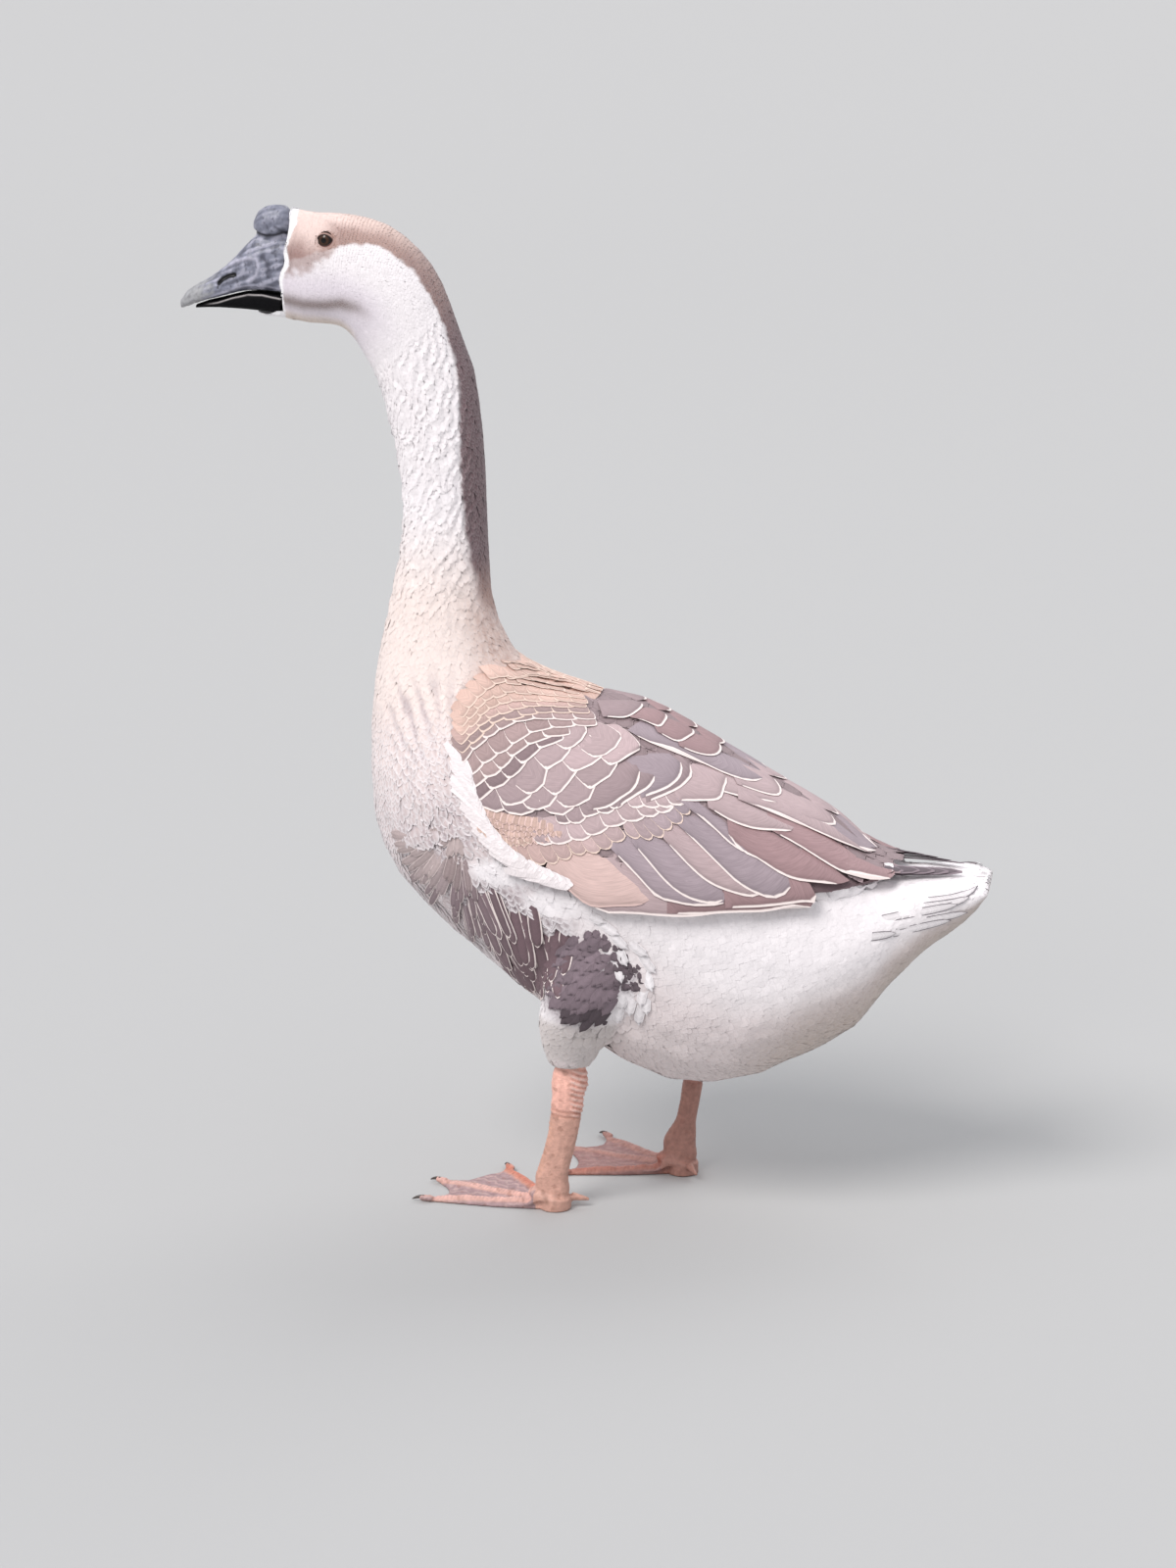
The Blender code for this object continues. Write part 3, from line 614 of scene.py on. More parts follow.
def plumage_material(name, roughness, barb_size, barb_depth, sheen):
    """Soft plumage: the painted colour, fine barbs and a faint bloom."""
    material, add = new_material(name)
    barbs = add("TexNoise", Vector=add("TexCoord")["Object"], Scale=1 / barb_size, Detail=3)["Fac"]
    mottle = add("MapRange", Value=barbs, To_Min=0.90, To_Max=1.06)["Result"]
    bump = add("Bump", Strength=barb_depth, Distance=0.0006, Height=barbs)["Normal"]
    add("Surface", Roughness=roughness, Specular_IOR_Level=0.25, Sheen_Weight=sheen, Sheen_Roughness=0.6,
        Base_Color=shaded_paint(add, "plumage", mottle), Normal=bump)
    return material


skin_points = mesh_points(skin.data)
skin_colour, _strength = plumage_at(skin_points)
# painted shade: under the wing, and a little past its rear end, the skin takes the dark under-wing colour;
# elsewhere it is darkened as the shade in the gaps between the vanes over it
in_wing_shade = under_wing(skin_points) | (under_wing(skin_points, -0.008) & (skin_points[:, 0] > 0.235))
skin_colour = np.where(in_wing_shade[:, None], UNDER_WING_SHADE, skin_colour * DOWN_PAINTED_SHADE)
paint_points(skin.data, "plumage", skin_colour)
skin.data.materials.append(plumage_material("down", 0.85, 0.0011, 0.5, 0.1))
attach(skin, "root")
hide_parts(*FLESH)


def hull_of(*meshes):
    """Meshes ready for feathers: a search tree, and their triangles' corners and outward directions."""
    spots, facings, triangles = [], [], []
    first = 0
    for mesh in meshes:
        mesh.calc_loop_triangles()
        corners = np.zeros(len(mesh.loop_triangles) * 3, dtype=np.int32)
        mesh.loop_triangles.foreach_get("vertices", corners)
        triangles.append(corners.reshape(-1, 3) + first)
        spots.append(mesh_points(mesh))
        facings.append(vertex_normals(mesh))
        first += len(mesh.vertices)
    spots, facings, triangles = np.concatenate(spots), np.concatenate(facings), np.concatenate(triangles)
    return BVHTree.FromPolygons(spots.tolist(), triangles.tolist()), spots[triangles], facings[triangles]


skin_hull = hull_of(skin.data)
skin_tree = skin_hull[0]


# ----------------------------------------------------------------------------- feathers of head and neck
# Thousands of small overlapping vanes, each rooted in the skin in rows round the bird and lying the way
# the coat runs. They are smallest on the face, and part into furrows down the neck.

VANE_ROWS = np.array([0.0, 0.42, 0.80, 1.0])
VANE_WIDTH = np.array([0.50, 0.96, 0.94, 0.50])
TIP_ROUND = 0.20
RAYS = 120
# How high a vane stands over the skin along its standard length, in shares of the coat's depth.
COAT_AT = (0.0, 0.25, 0.5, 0.75, 1.0, 1.2)
COAT_RISE = (-0.25, 0.60, 0.87, 0.93, 0.97, 1.0)
COAT_CAMBER = 0.012
# How strongly a vane's pale rim shows at each row, left, middle and right, and the painted shade that darkens
# its root, where it lies under the vanes above.
PALE_RIM = np.array([(0.0, 0.0, 0.0), (0.4, 0.0, 0.4), (0.9, 0.1, 0.9), (1.0, 0.9, 1.0)])
ROOT_SHADE = np.array([0.93, 0.98, 1.0, 1.0])
# Half the side of the small square that each vane takes on the unrolled coat.
CHART_PATCH = 0.0015


def lie_of_coat(points, normals):
    """The way the feathers point at each place, laid flat on the skin."""
    at, up = body_place(points)
    onward_low = unit(np.gradient(LOW, axis=0))
    onward_high = unit(np.gradient(HIGH, axis=0))
    first = np.clip(at.astype(int), 0, len(LOW) - 2)
    share = (at - first)[:, None]
    low = onward_low[first] * (1 - share) + onward_low[first + 1] * share
    high = onward_high[first] * (1 - share) + onward_high[first + 1] * share
    level = np.clip(up, 0, 1)[:, None]
    flat = low * (1 - level) + high * level
    lie = np.stack([flat[:, 0], np.zeros(len(flat)), flat[:, 1]], axis=1)
    # flank feathers hang down in front of the thigh
    hang = near_spot(points, -45, 250, 70, 80)[:, None]
    lie = lie * (1 - hang * 0.75) + np.array([0.20, 0.0, -1.0]) * hang * 0.75
    thigh = smooth_step(1.25, 1.0, thigh_reach(points))[:, None]
    lie = lie * (1 - thigh) + np.array([-0.22, 0.0, -1.0]) * thigh
    return unit(lie - normals * np.sum(lie * normals, axis=1, keepdims=True))


def directions_at(spots, triangles, hull):
    """The smooth outward direction of a hull at spots that lie on given triangles of it."""
    _tree, corners, facings = hull
    first, second, third = (corners[triangles, k] for k in range(3))
    along, over, reach = second - first, third - first, spots - first
    aa, ab, bb = (np.sum(p * q, axis=1) for p, q in ((along, along), (along, over), (over, over)))
    ra, rb = np.sum(reach * along, axis=1), np.sum(reach * over, axis=1)
    size = np.maximum(aa * bb - ab * ab, 1e-18)
    v = np.clip((bb * ra - ab * rb) / size, 0, 1)
    w = np.clip((aa * rb - ab * ra) / size, 0, 1)
    shares = np.stack([np.clip(1 - v - w, 0, 1), v, w], axis=1)[..., None]
    return unit(np.sum(facings[triangles] * shares, axis=1))


def nearest_on_skin(points, hull=skin_hull):
    """The skin's nearest point and outward direction for each point."""
    found = np.zeros_like(points)
    triangles = np.zeros(len(points), dtype=int)
    for number, point in enumerate(points.tolist()):
        found[number], _flat, triangles[number], _distance = hull[0].find_nearest(point)
    return found, directions_at(found, triangles, hull)


def lengths_along(line):
    """How far along a line of points each of them comes."""
    return np.concatenate([[0], np.cumsum(np.linalg.norm(np.diff(line, axis=0), axis=1))])


def row_round(centre, up, gap, offset):
    """Roots spaced evenly round the bird, where rays from inside meet the skin."""
    hits = []
    for ray in range(RAYS):
        turn = 2 * math.pi * ray / RAYS
        direction = Vector(up) * math.cos(turn) + Vector((0, 1, 0)) * math.sin(turn)
        spot = skin_tree.ray_cast(Vector(centre), direction)[0]
        if spot is not None:
            hits.append(spot)
    if len(hits) < RAYS // 2:
        return np.zeros((0, 3))
    loop = np.array(hits + hits[:1])
    along = lengths_along(loop)
    count = max(int(along[-1] / gap), 6)
    stops = (np.arange(count) + offset) * along[-1] / count % along[-1]
    return np.stack([np.interp(stops, along, loop[:, axis]) for axis in range(3)], axis=1)


def rows_of_roots(first, last, gap_at):
    """Staggered rows of roots from one station to another; gap_at gives the rows' spacing in mm."""
    rows = []
    place_now = float(first)
    number = 0
    while place_now < last:
        step = min(int(place_now), len(LOW) - 2)
        share = place_now - step
        low = LOW[step] * (1 - share) + LOW[step + 1] * share
        high = HIGH[step] * (1 - share) + HIGH[step + 1] * share
        low_run, high_run = (np.linalg.norm(line[step + 1] - line[step]) for line in (LOW, HIGH))
        travel = max(low_run, 0.7 * high_run)
        gap = gap_at(place_now) * MM * COARSE
        centre = (low + high) / 2
        up = (high - low) / np.linalg.norm(high - low)
        rows.append(row_round((centre[0], MID_Y, centre[1]), (up[0], 0, up[1]), gap, 0.5 * (number % 2)))
        place_now += gap / travel
        number += 1
    return np.concatenate(rows)


def tiled_faces(count, rows, columns):
    """Corner numbers of many closed vanes: a gridded upper face over one lower centre line."""
    size = rows * columns + rows

    def top(row, column):
        return row * columns + column

    def under(row):
        return rows * columns + row

    faces = []
    last = columns - 1
    end = rows - 1
    for row in range(end):
        for column in range(last):
            faces.append((top(row, column), top(row + 1, column),
                          top(row + 1, column + 1), top(row, column + 1)))
    for row in range(end):
        faces.append((under(row), under(row + 1), top(row + 1, 0), top(row, 0)))
        faces.append((under(row), top(row, last), top(row + 1, last), under(row + 1)))
    for column in range(0, last, 2):
        faces.append((top(0, column), top(0, column + 1), top(0, column + 2), under(0)))
        faces.append((top(end, column + 2), top(end, column + 1), top(end, column), under(end)))
    faces = np.array(faces)
    hidden = np.tile(np.arange(len(faces)) >= end * last, count)
    return (faces[None] + (np.arange(count) * size)[:, None, None]).reshape(-1, 4), hidden


def mesh_of_vanes(name, tops, unders, atlas):
    """One joined mesh from many vanes. tops is vane, row, column, xyz; unders is vane, row, xyz."""
    count, rows, columns = tops.shape[:3]
    unders = unders.copy()
    unders[:, -1] += (unders[:, -2] - unders[:, -1]) * 0.35
    points = np.concatenate([tops.reshape(count, -1, 3), unders], axis=1).reshape(-1, 3)
    faces, hidden = tiled_faces(count, rows, columns)
    mesh = bpy.data.meshes.new(name)
    mesh.vertices.add(len(points))
    mesh.vertices.foreach_set("co", points.astype(np.float32).ravel())
    mesh.loops.add(faces.size)
    mesh.loops.foreach_set("vertex_index", faces.astype(np.int32).ravel())
    mesh.polygons.add(len(faces))
    mesh.polygons.foreach_set("loop_start", np.arange(0, faces.size, 4, dtype=np.int32))
    mesh.update(calc_edges=True)
    mesh.shade_smooth()
    edges_round = np.zeros(faces.size, dtype=np.int32)
    mesh.loops.foreach_get("edge_index", edges_round)
    crisp = np.zeros(len(mesh.edges), dtype=bool)
    crisp[edges_round.reshape(-1, 4)[hidden].ravel()] = True
    mesh.attributes.new("sharp_edge", "BOOLEAN", "EDGE").data.foreach_set("value", crisp)
    chart = mesh.uv_layers.new(name="OFBake")
    chart.data.foreach_set("uv", atlas.reshape(-1, 2)[faces.ravel()].astype(np.float32).ravel())
    return mesh


def with_unders(values):
    """Extends values on a vane's upper grid to its lower centre line, which takes the middle column's."""
    count, rows, columns = values.shape[:3]
    middle = values[:, :, columns // 2]
    return np.concatenate([values.reshape(count, rows * columns, -1), middle], axis=1)


def small_vanes(name, roots, length, width, rise, seed, unroll, ruffle=0.1, furrow=None, hull=skin_hull):
    """Small feathers shingled over the skin: length, width and rise in millimetres, one value a root."""
    draw = np.random.default_rng(seed)
    count = len(roots)
    roots, normals = nearest_on_skin(roots, hull)
    lies = lie_of_coat(roots, normals)
    swing = draw.normal(0, ruffle, count)[:, None]
    lies = lies * np.cos(swing) + np.cross(normals, lies) * np.sin(swing)
    own = draw.uniform(0.86, 1.14, count)
    width = width * MM * draw.uniform(0.88, 1.12, count)
    reach = (length * MM * own)[:, None] * VANE_ROWS
    spine, facing = nearest_on_skin((roots[:, None] + lies[:, None] * reach[..., None]).reshape(-1, 3), hull)
    spine, facing = spine.reshape(count, -1, 3), facing.reshape(count, -1, 3)
    onward = unit(np.gradient(spine, axis=1))
    across = np.cross(facing, onward)
    half = width[:, None] / 2 * VANE_WIDTH
    tops = np.zeros((count, len(VANE_ROWS), 3, 3))
    for column in (-1, 0, 1):
        tops[:, :, column + 1] = spine + across * (half * column)[..., None]
        rounding = TIP_ROUND * abs(column) * width[:, None] * VANE_ROWS ** 3
        tops[:, :, column + 1] -= onward * rounding[..., None]
    flat, facing = nearest_on_skin(tops.reshape(-1, 3), hull)
    lift = (rise * MM)[:, None] * np.interp(own[:, None] * VANE_ROWS, COAT_AT, COAT_RISE)
    lift = lift[:, :, None] + COAT_CAMBER * half[:, :, None] * np.array([-1, 1, -1])
    if furrow is not None:
        lift = lift + furrow(flat).reshape(lift.shape) * smooth_step(0.0, 0.4, VANE_ROWS)[:, None]
    tucked = under_wing(flat, -0.001).reshape(lift.shape)
    lift = np.where(tucked, np.minimum(lift, -0.0002), lift)
    tops = flat.reshape(tops.shape) + facing.reshape(tops.shape) * lift[..., None]
    unders = tops[:, :, 1] - facing.reshape(tops.shape)[:, :, 1] * (0.00012 + half * 0.04)[..., None]
    colour, strength = plumage_at(tops.reshape(-1, 3))
    colour = colour.reshape(tops.shape) * (1 + draw.normal(0, 0.028, (count, 1, 1, 1)))
    share = (PALE_RIM * strength.reshape(tops.shape[:3]))[..., None]
    colour = colour + (WHITE - colour) * share
    colour = np.clip(colour * ROOT_SHADE[:, None, None], 0, 1)
    home = unroll(roots)[:, None, None]
    chart = np.zeros(tops.shape[:3] + (2,))
    chart[..., 0] = home[..., 0] + (VANE_ROWS[:, None] - 0.5) * 2 * CHART_PATCH
    chart[..., 1] = home[..., 1] + np.array([-1, 0, 1]) * CHART_PATCH
    mesh = mesh_of_vanes(name, tops, unders, with_unders(chart))
    paint_points(mesh, "plumage", with_unders(colour).reshape(-1, 3))
    return linked(name, mesh)


def unrolled_between(first, last):
    """An unwrap of the skin between two stations: along the bird, and round it from the belly line."""
    def unroll(points):
        at, up = body_place(points)
        side = np.where(points[:, 1] < MID_Y, -1, 1)
        round_it = np.arccos(np.clip(1 - 2 * up, -1, 1)) / math.pi * side
        share = np.clip((at - first) / (last - first), 0, 1)
        return np.stack([0.02 + 0.96 * share, 0.5 + 0.48 * round_it], axis=1)
    return unroll


EYE_X, EYE_Z = EYE_CENTRE[-1].x, EYE_CENTRE[-1].z


def clear_of_face(roots):
    """Leaves out roots under the bill and round the eye, wider ahead of it since the vanes point back."""
    eye = np.hypot((roots[:, 0] - EYE_X + 0.0018) / 0.0092, (roots[:, 2] - EYE_Z) / 0.0068)
    on_side = off_middle(roots) > 0.008
    under_bill = roots[:, 0] < np.interp(roots[:, 2], np.array((732, 768, 794, 821)) * MM,
                                         np.array((-248, -244.5, -240.5, -239)) * MM)
    return roots[~((eye < 1) & on_side) & ~under_bill]


def neck_furrows(points):
    """Ridges that run down and round the neck, in millimetres turned to metres."""
    at, up = body_place(points)
    strength = smooth_step(6.2, 8.0, at) * smooth_step(15.8, 13.0, at) * smooth_step(0.95, 0.80, up)
    down = np.interp(at, np.arange(len(LOW)), lengths_along((LOW + HIGH) / 2))
    side = np.arccos(np.clip(1 - 2 * up, -1, 1)) * 0.032
    bend = ripple(points, 0.030, 11) * 0.0045 + ripple(points, 0.012, 12) * 0.0015
    ridge = np.sin((side * 1.0 + down * 0.42 + bend) * 2 * math.pi / 0.0078)
    return ridge * strength * 0.0009


head_gap = {"bill base": 1.7, "ear": 1.95, "nape": 2.3}
head_roots = clear_of_face(rows_of_roots(0.02, station("neck top"), lambda at: along_stations(head_gap, at)))
at, up = body_place(head_roots)
head_coat = small_vanes(
    "head_feathers", head_roots,
    along_stations({"bill base": 3.6, "ear": 4.6, "nape": 6.6}, at),
    along_stations({"bill base": 2.3, "ear": 2.7, "nape": 3.3}, at),
    along_stations(COAT_DEPTH, at), 21, unrolled_between(0, station("neck top")), ruffle=0.10)
head_coat.data.materials.append(plumage_material("face_feathers", 0.8, 0.0009, 0.25, 0.15))

neck_gap = {"neck top": 2.35, "slimmest": 2.75, "neck root": 3.5}
neck_roots = rows_of_roots(station("neck top") - 0.2, station("neck root"),
                           lambda at: along_stations(neck_gap, at))
at, up = body_place(neck_roots)
neck_coat = small_vanes(
    "neck_feathers", neck_roots,
    along_stations({"neck top": 7.5, "slimmest": 9.5, "neck root": 13.0}, at),
    along_stations({"neck top": 3.4, "slimmest": 4.0, "neck root": 5.4}, at),
    along_stations(COAT_DEPTH, at), 22, unrolled_between(station("neck top") - 1, station("neck root") + 1),
    ruffle=0.16, furrow=neck_furrows)
neck_coat.data.materials.append(plumage_material("neck_feathers", 0.8, 0.0012, 0.3, 0.15))
for coat, slot in ((head_coat, "head_plumage"), (neck_coat, "neck_plumage")):
    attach(coat, "root")


# -------------------------------------------------------------------------------- feathers of the trunk
# Breast feathers in curved rows with pale edges, then deep soft white ones on belly, rump and vent. They
# are rooted in the skin and lie backwards over one another, and none grow where a wing covers the body.

# The back lies within this turn from the top of the wing's oval, in degrees, and ends at this place.
BACK_TURN = 45
WING_END = 0.272


def under_wing_top(points):
    """True on the back, where the two folded wings meet over it."""
    turn, _reach = wing_turn(points)
    return (turn < BACK_TURN) & (points[:, 0] < WING_END)


# The step down from the wings' ends to the rump lies between these places along the bird, above a height.
STEP_FRONT, STEP_REAR, STEP_FLOOR = 0.215, 0.280, 0.262
STEEPEST_BEND = 0.75


def over_a_step(roots, reach):
    """True for roots at the wings' ends whose feathers would have to bend over the step down to the rump."""
    spots, normals = nearest_on_skin(roots)
    _ahead, facing = nearest_on_skin(spots + lie_of_coat(spots, normals) * reach)
    bent = np.sum(normals * facing, axis=1) < STEEPEST_BEND
    return bent & (roots[:, 0] > STEP_FRONT) & (roots[:, 0] < STEP_REAR) & (roots[:, 2] > STEP_FLOOR)


body_gap = {"neck root": 3.6, "crop": 4.2, "keel": 4.8, "vent": 5.2, "end": 4.8}
body_roots = rows_of_roots(station("neck root"), station("tail coverts"),
                           lambda at: along_stations(body_gap, at))
under_folded_wing = under_wing(body_roots, 0.002) | ((body_roots[:, 0] > 0.03) & under_wing_top(body_roots))
body_roots = body_roots[~under_folded_wing & ~near_thigh(body_roots, 0.9) & ~over_a_step(body_roots, 0.012)]
at, up = body_place(body_roots)
flank_share = np.maximum(on_flank(body_roots), in_fan(body_roots))
body_length = along_stations(
    {"neck root": 13, "crop": 14, "keel": 16, "mid body": 18, "vent": 20, "end": 18}, at)
body_width = along_stations(
    {"neck root": 5.8, "crop": 6.8, "keel": 7.8, "mid body": 9, "vent": 10, "end": 8}, at)
body_length = body_length * (1 - flank_share) + 14 * flank_share
body_width = body_width * (1 - flank_share) + 8 * flank_share
body_rise = along_stations(COAT_DEPTH, at) * (1.0 - 0.75 * flank_share)


def breast_furrows(points):
    """Fanned ridges over the breast, and soft swells over the belly and sides, in metres."""
    at, _up = body_place(points)
    swell = ripple(points * (1.0, 1.4, 1.4), 0.045, 33) * 0.0007 + ripple(points, 0.016, 34) * 0.00022
    return breast_fan(points) * 0.0008 + swell * smooth_step(16.0, 19.0, at)


breast = at < station("mid body")
rear = at > station("paunch")
for name, chosen, seed, slot in (("breast_feathers", breast, 31, "body_plumage"),
                                 ("belly_feathers", ~breast & ~rear, 32, "body_plumage"),
                                 ("vent_feathers", rear, 35, "body_plumage")):
    coat = small_vanes(
        name, body_roots[chosen], body_length[chosen], body_width[chosen], body_rise[chosen], seed,
        unrolled_between(station("neck root"), station("end")), ruffle=0.13, furrow=breast_furrows)
    coat.data.materials.append(plumage_material(name, 0.82, 0.0014, 0.35, 0.2))
    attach(coat, "root")


# ------------------------------------------------------------------------------------ the folded wings
# Each folded wing is shingled with large flat vanes: narrow buff ones at the shoulder, barred coverts,
# squared greater coverts, then the long secondaries and tertials, every one with a crisp white edge.

# The wing is measured out flat in millimetres: along the body from its middle, and down from the mid back.
WING_STEP = 2.0
WING_REACH = np.arange(-112, 294, WING_STEP)
WING_ROUND = np.arange(0, 262, WING_STEP)
WING_TURNS = np.radians(np.linspace(0, 125, 251))
DEEP_ROOT = -2.4
WHITE_EDGE = tone(248, 234, 230)
PALE_EDGE = tone(238, 214, 200)


def smooth_between(stops, values, at):
    """A smooth curve through given values."""
    slopes = np.gradient(values, stops)
    first = np.clip(np.searchsorted(stops, at) - 1, 0, len(stops) - 2)
    gap = stops[first + 1] - stops[first]
    t = np.clip((at - stops[first]) / gap, 0, 1)
    return ((2 * t ** 3 - 3 * t ** 2 + 1) * values[first] + (t ** 3 - 2 * t ** 2 + t) * gap * slopes[first]
            + (-2 * t ** 3 + 3 * t ** 2) * values[first + 1] + (t ** 3 - t ** 2) * gap * slopes[first + 1])


def wing_oval(along):
    """The oval's centre height, half height and half width at places along the body."""
    return (smooth_between(WING_OVALS[:, 0] / MM, WING_OVALS[:, k] / MM, along) for k in (1, 2, 3))


def turn_table():
    """How far round the oval each distance from the mid back comes, for every step along the wing."""
    _centre, tall, wide = wing_oval(WING_REACH)
    middle = (WING_TURNS[1:] + WING_TURNS[:-1]) / 2
    step = WING_TURNS[1] - WING_TURNS[0]
    table = np.zeros((len(WING_REACH), len(WING_ROUND)))
    for row in range(len(WING_REACH)):
        pieces = np.hypot(wide[row] * np.cos(middle), tall[row] * np.sin(middle)) * step
        table[row] = np.interp(WING_ROUND, np.concatenate([[0], np.cumsum(pieces)]), WING_TURNS)
    return table


TURN_TABLE = turn_table()


def wing_surface(along, down, side):
    """A point on the folded wing's outer face: millimetres along the body and down from the mid back."""
    row = np.clip((along - WING_REACH[0]) / WING_STEP, 0, len(WING_REACH) - 1.001)
    column = np.clip(np.abs(down) / WING_STEP, 0, len(WING_ROUND) - 1.001)
    r, c = row.astype(int), column.astype(int)
    fr, fc = row - r, column - c
    turn = ((TURN_TABLE[r, c] * (1 - fr) + TURN_TABLE[r + 1, c] * fr) * (1 - fc)
            + (TURN_TABLE[r, c + 1] * (1 - fr) + TURN_TABLE[r + 1, c + 1] * fr) * fc) * np.sign(down)
    centre, tall, wide = wing_oval(along)
    return np.stack([along, side * np.sin(turn) * wide, centre + np.cos(turn) * tall], axis=-1) * MM


def over_wing(along, down, rise, side):
    """A point over the wing, lifted off its face by a rise in millimetres."""
    spot = wing_surface(along, down, side)
    onward = wing_surface(along + 1, down, side) - wing_surface(along - 1, down, side)
    downward = wing_surface(along, down + 1, side) - wing_surface(along, down - 1, side)
    normal = unit(np.cross(onward, downward) * side)
    return spot + normal * (rise * MM)[..., None] + np.array([0, MID_Y, 0])


def walked(line, count):
    """A given line walked in equal steps."""
    line = np.array(line, dtype=float)
    along = lengths_along(line)
    stops = np.linspace(0, along[-1], count)
    return np.stack([smooth_between(along, line[:, k], stops) for k in (0, 1)], axis=1), along[-1]


def distance_to_line(points, line):
    """Each point's distance to a broken line, both of them flat."""
    best = np.full(points.shape[:-1], 1e9)
    for start, end in zip(line[:-1], line[1:]):
        run = end - start
        share = np.clip(np.sum((points - start) * run, axis=-1) / max(np.sum(run * run), 1e-9), 0, 1)
        best = np.minimum(best, np.linalg.norm(points - start - share[..., None] * run, axis=-1))
    return best


# A short vane's rows from root to tip, its width at each of them, and its columns across.
BAR_ROWS = np.array([0, 0.3, 0.55, 0.75, 0.88, 0.95, 1.0])
BAR_WIDTH = np.array([0.55, 0.86, 1.0, 1.0, 0.95, 0.82, 0.50])
BAR_COLUMNS = np.array([-1, -0.62, 0, 0.62, 1])
FAN_ROWS = np.array([0.05, 0.25, 0.5, 0.72, 0.86, 0.94, 1.0])
FAN_COLUMNS = 15
# Even steps in which a bar's line is walked.
BAR_STOPS = 121
# How far back a vane's tip is cut round at its sides, in shares of its width.
TIP_CURVE = 0.26
wing_draw = np.random.default_rng(51)
# Vanes laid out on the flat wing: their places, rise over it, measures, colours and edge colours.
short_vanes = [[], [], [], [], []]
long_vanes = [[], [], [], [], []]


def add_vane(vanes, flat, rise, measures, colour, edging):
    """Keeps one vane until all of them are laid over both wings."""
    colour, edging = (np.broadcast_to(part, flat.shape[:2] + (3,)) for part in (colour, edging))
    for kept, part in zip(vanes, (flat, rise, measures, colour, edging)):
        kept.append(part)


def one_short_vane(tip, direction, length, width, colour, edging, lift=0.4, root=DEEP_ROOT, edge_lift=0.12,
                   rounding=1.0, thin=0.0, spread=None):
    """A short vane whose tip reaches a point of the wing. spread shapes the tip's edge, one offset a column;
    thin narrows the pale edge by so many mm."""
    rows, columns = BAR_ROWS[:, None], BAR_COLUMNS[None]
    bend = TIP_CURVE * rounding * width
    along = rows * length - columns ** 2 * bend * rows ** 4
    outline = 1 - (1 - BAR_WIDTH) * np.where(BAR_ROWS > 0.6, rounding, 1.0)
    half = (width / 2 * outline)[:, None]
    across = half * columns
    if spread is None:
        spread = (width / 2 * BAR_COLUMNS)[:, None] * np.array([-direction[1], direction[0]])
    flat = tip + (along - length)[..., None] * direction + outline[:, None, None] * spread[None]
    rise = root + (lift - root) * rows ** 0.35 + edge_lift * columns + 0.10 * (1 - columns ** 2)
    ending = length - bend * columns ** 2 - along
    rim = np.minimum(half * (1 - np.abs(columns)) * (1 + 9 * (1 - rounding)), ending) + 0.6 * thin
    add_vane(short_vanes, flat, rise, np.stack([along, across, rim], axis=-1), colour, edging)


def bar(line, width, length, colour, edging=WHITE_EDGE, step=0.80, second=None, lean=0.0, wild=0.03,
        squared=True, **more):
    """A row of vanes whose tips make one pale bar across the wing; squared tips are cut along the bar."""
    points, reach = walked(line, BAR_STOPS)
    stops = np.linspace(0, reach, BAR_STOPS)
    onwards = np.gradient(points, axis=0)

    def on_line(values, place):
        return np.stack([np.interp(place, stops, values[:, k]) for k in (0, 1)], axis=-1)

    count = max(int(round(reach / (width * step))), 2)
    margin = 0.4 * width if squared else 0.0
    for number, place in enumerate(np.linspace(margin, reach - margin, count)):
        swing = lean + wing_draw.normal(0, wild)
        middle = on_line(points, place)
        onward = on_line(onwards, place)
        onward /= np.linalg.norm(onward)
        direction = np.array([-onward[1] * math.cos(swing) - onward[0] * math.sin(swing),
                              -onward[1] * math.sin(swing) + onward[0] * math.cos(swing)])
        share = number / max(count - 1, 1)
        shade = colour if second is None else colour + (second - colour) * share
        shade = shade * (1 + wing_draw.normal(0, 0.07))
        wide = width * wing_draw.uniform(0.93, 1.10)
        spread = None
        if squared:
            spread = on_line(points, np.clip(place - BAR_COLUMNS * wide / 2, 0, reach)) - middle
        tip = middle + direction * wing_draw.normal(0, wild * 20)
        one_short_vane(tip, direction, length * wing_draw.uniform(0.92, 1.08), wide, shade, edging,
                       spread=spread, **more)


def fan(root, line, colour, edging=WHITE_EDGE, lift=0.5, tuck=-1.2, hidden=0.16):
    """One large vane from its root to a given margin; its far end tucks under the next vane."""
    edge = walked(line, FAN_COLUMNS)[0]
    flat = root + (edge[None] - root) * FAN_ROWS[:, None, None]
    share = np.linspace(0, 1, FAN_COLUMNS)
    edge_rise = lift + (tuck - lift) * smooth_step(1 - hidden, 1.0, share)
    rise = DEEP_ROOT + (edge_rise[None] - DEEP_ROOT) * FAN_ROWS[:, None] ** 0.4
    # the pale edge runs along the margin, and fades at the root and at both ends
    rim = distance_to_line(flat, edge) + 12 * np.clip(0.42 - FAN_ROWS, 0, 1)[:, None]
    rim = rim + 8 * smooth_step(1 - hidden, 1 - hidden / 2, share)[None]
    reach = np.linalg.norm(flat - root, axis=-1)
    rim = rim + 14 * np.clip(1 - reach / 24, 0, 1) + 7 * smooth_step(0.08, 0.02, share)[None]
    swing = np.arctan2(flat[..., 1] - root[1], flat[..., 0] - root[0]) * 30
    shade = colour * (1 + wing_draw.normal(0, 0.03))
    # darker within 16 mm of the margin, partly the feather's own darker band and partly painted shade where
    # the vanes overlap
    colours = shade * (0.86 + 0.14 * smooth_step(0, 16, rim))[..., None]
    add_vane(long_vanes, flat, rise, np.stack([reach, swing, rim], axis=-1), colours, edging)


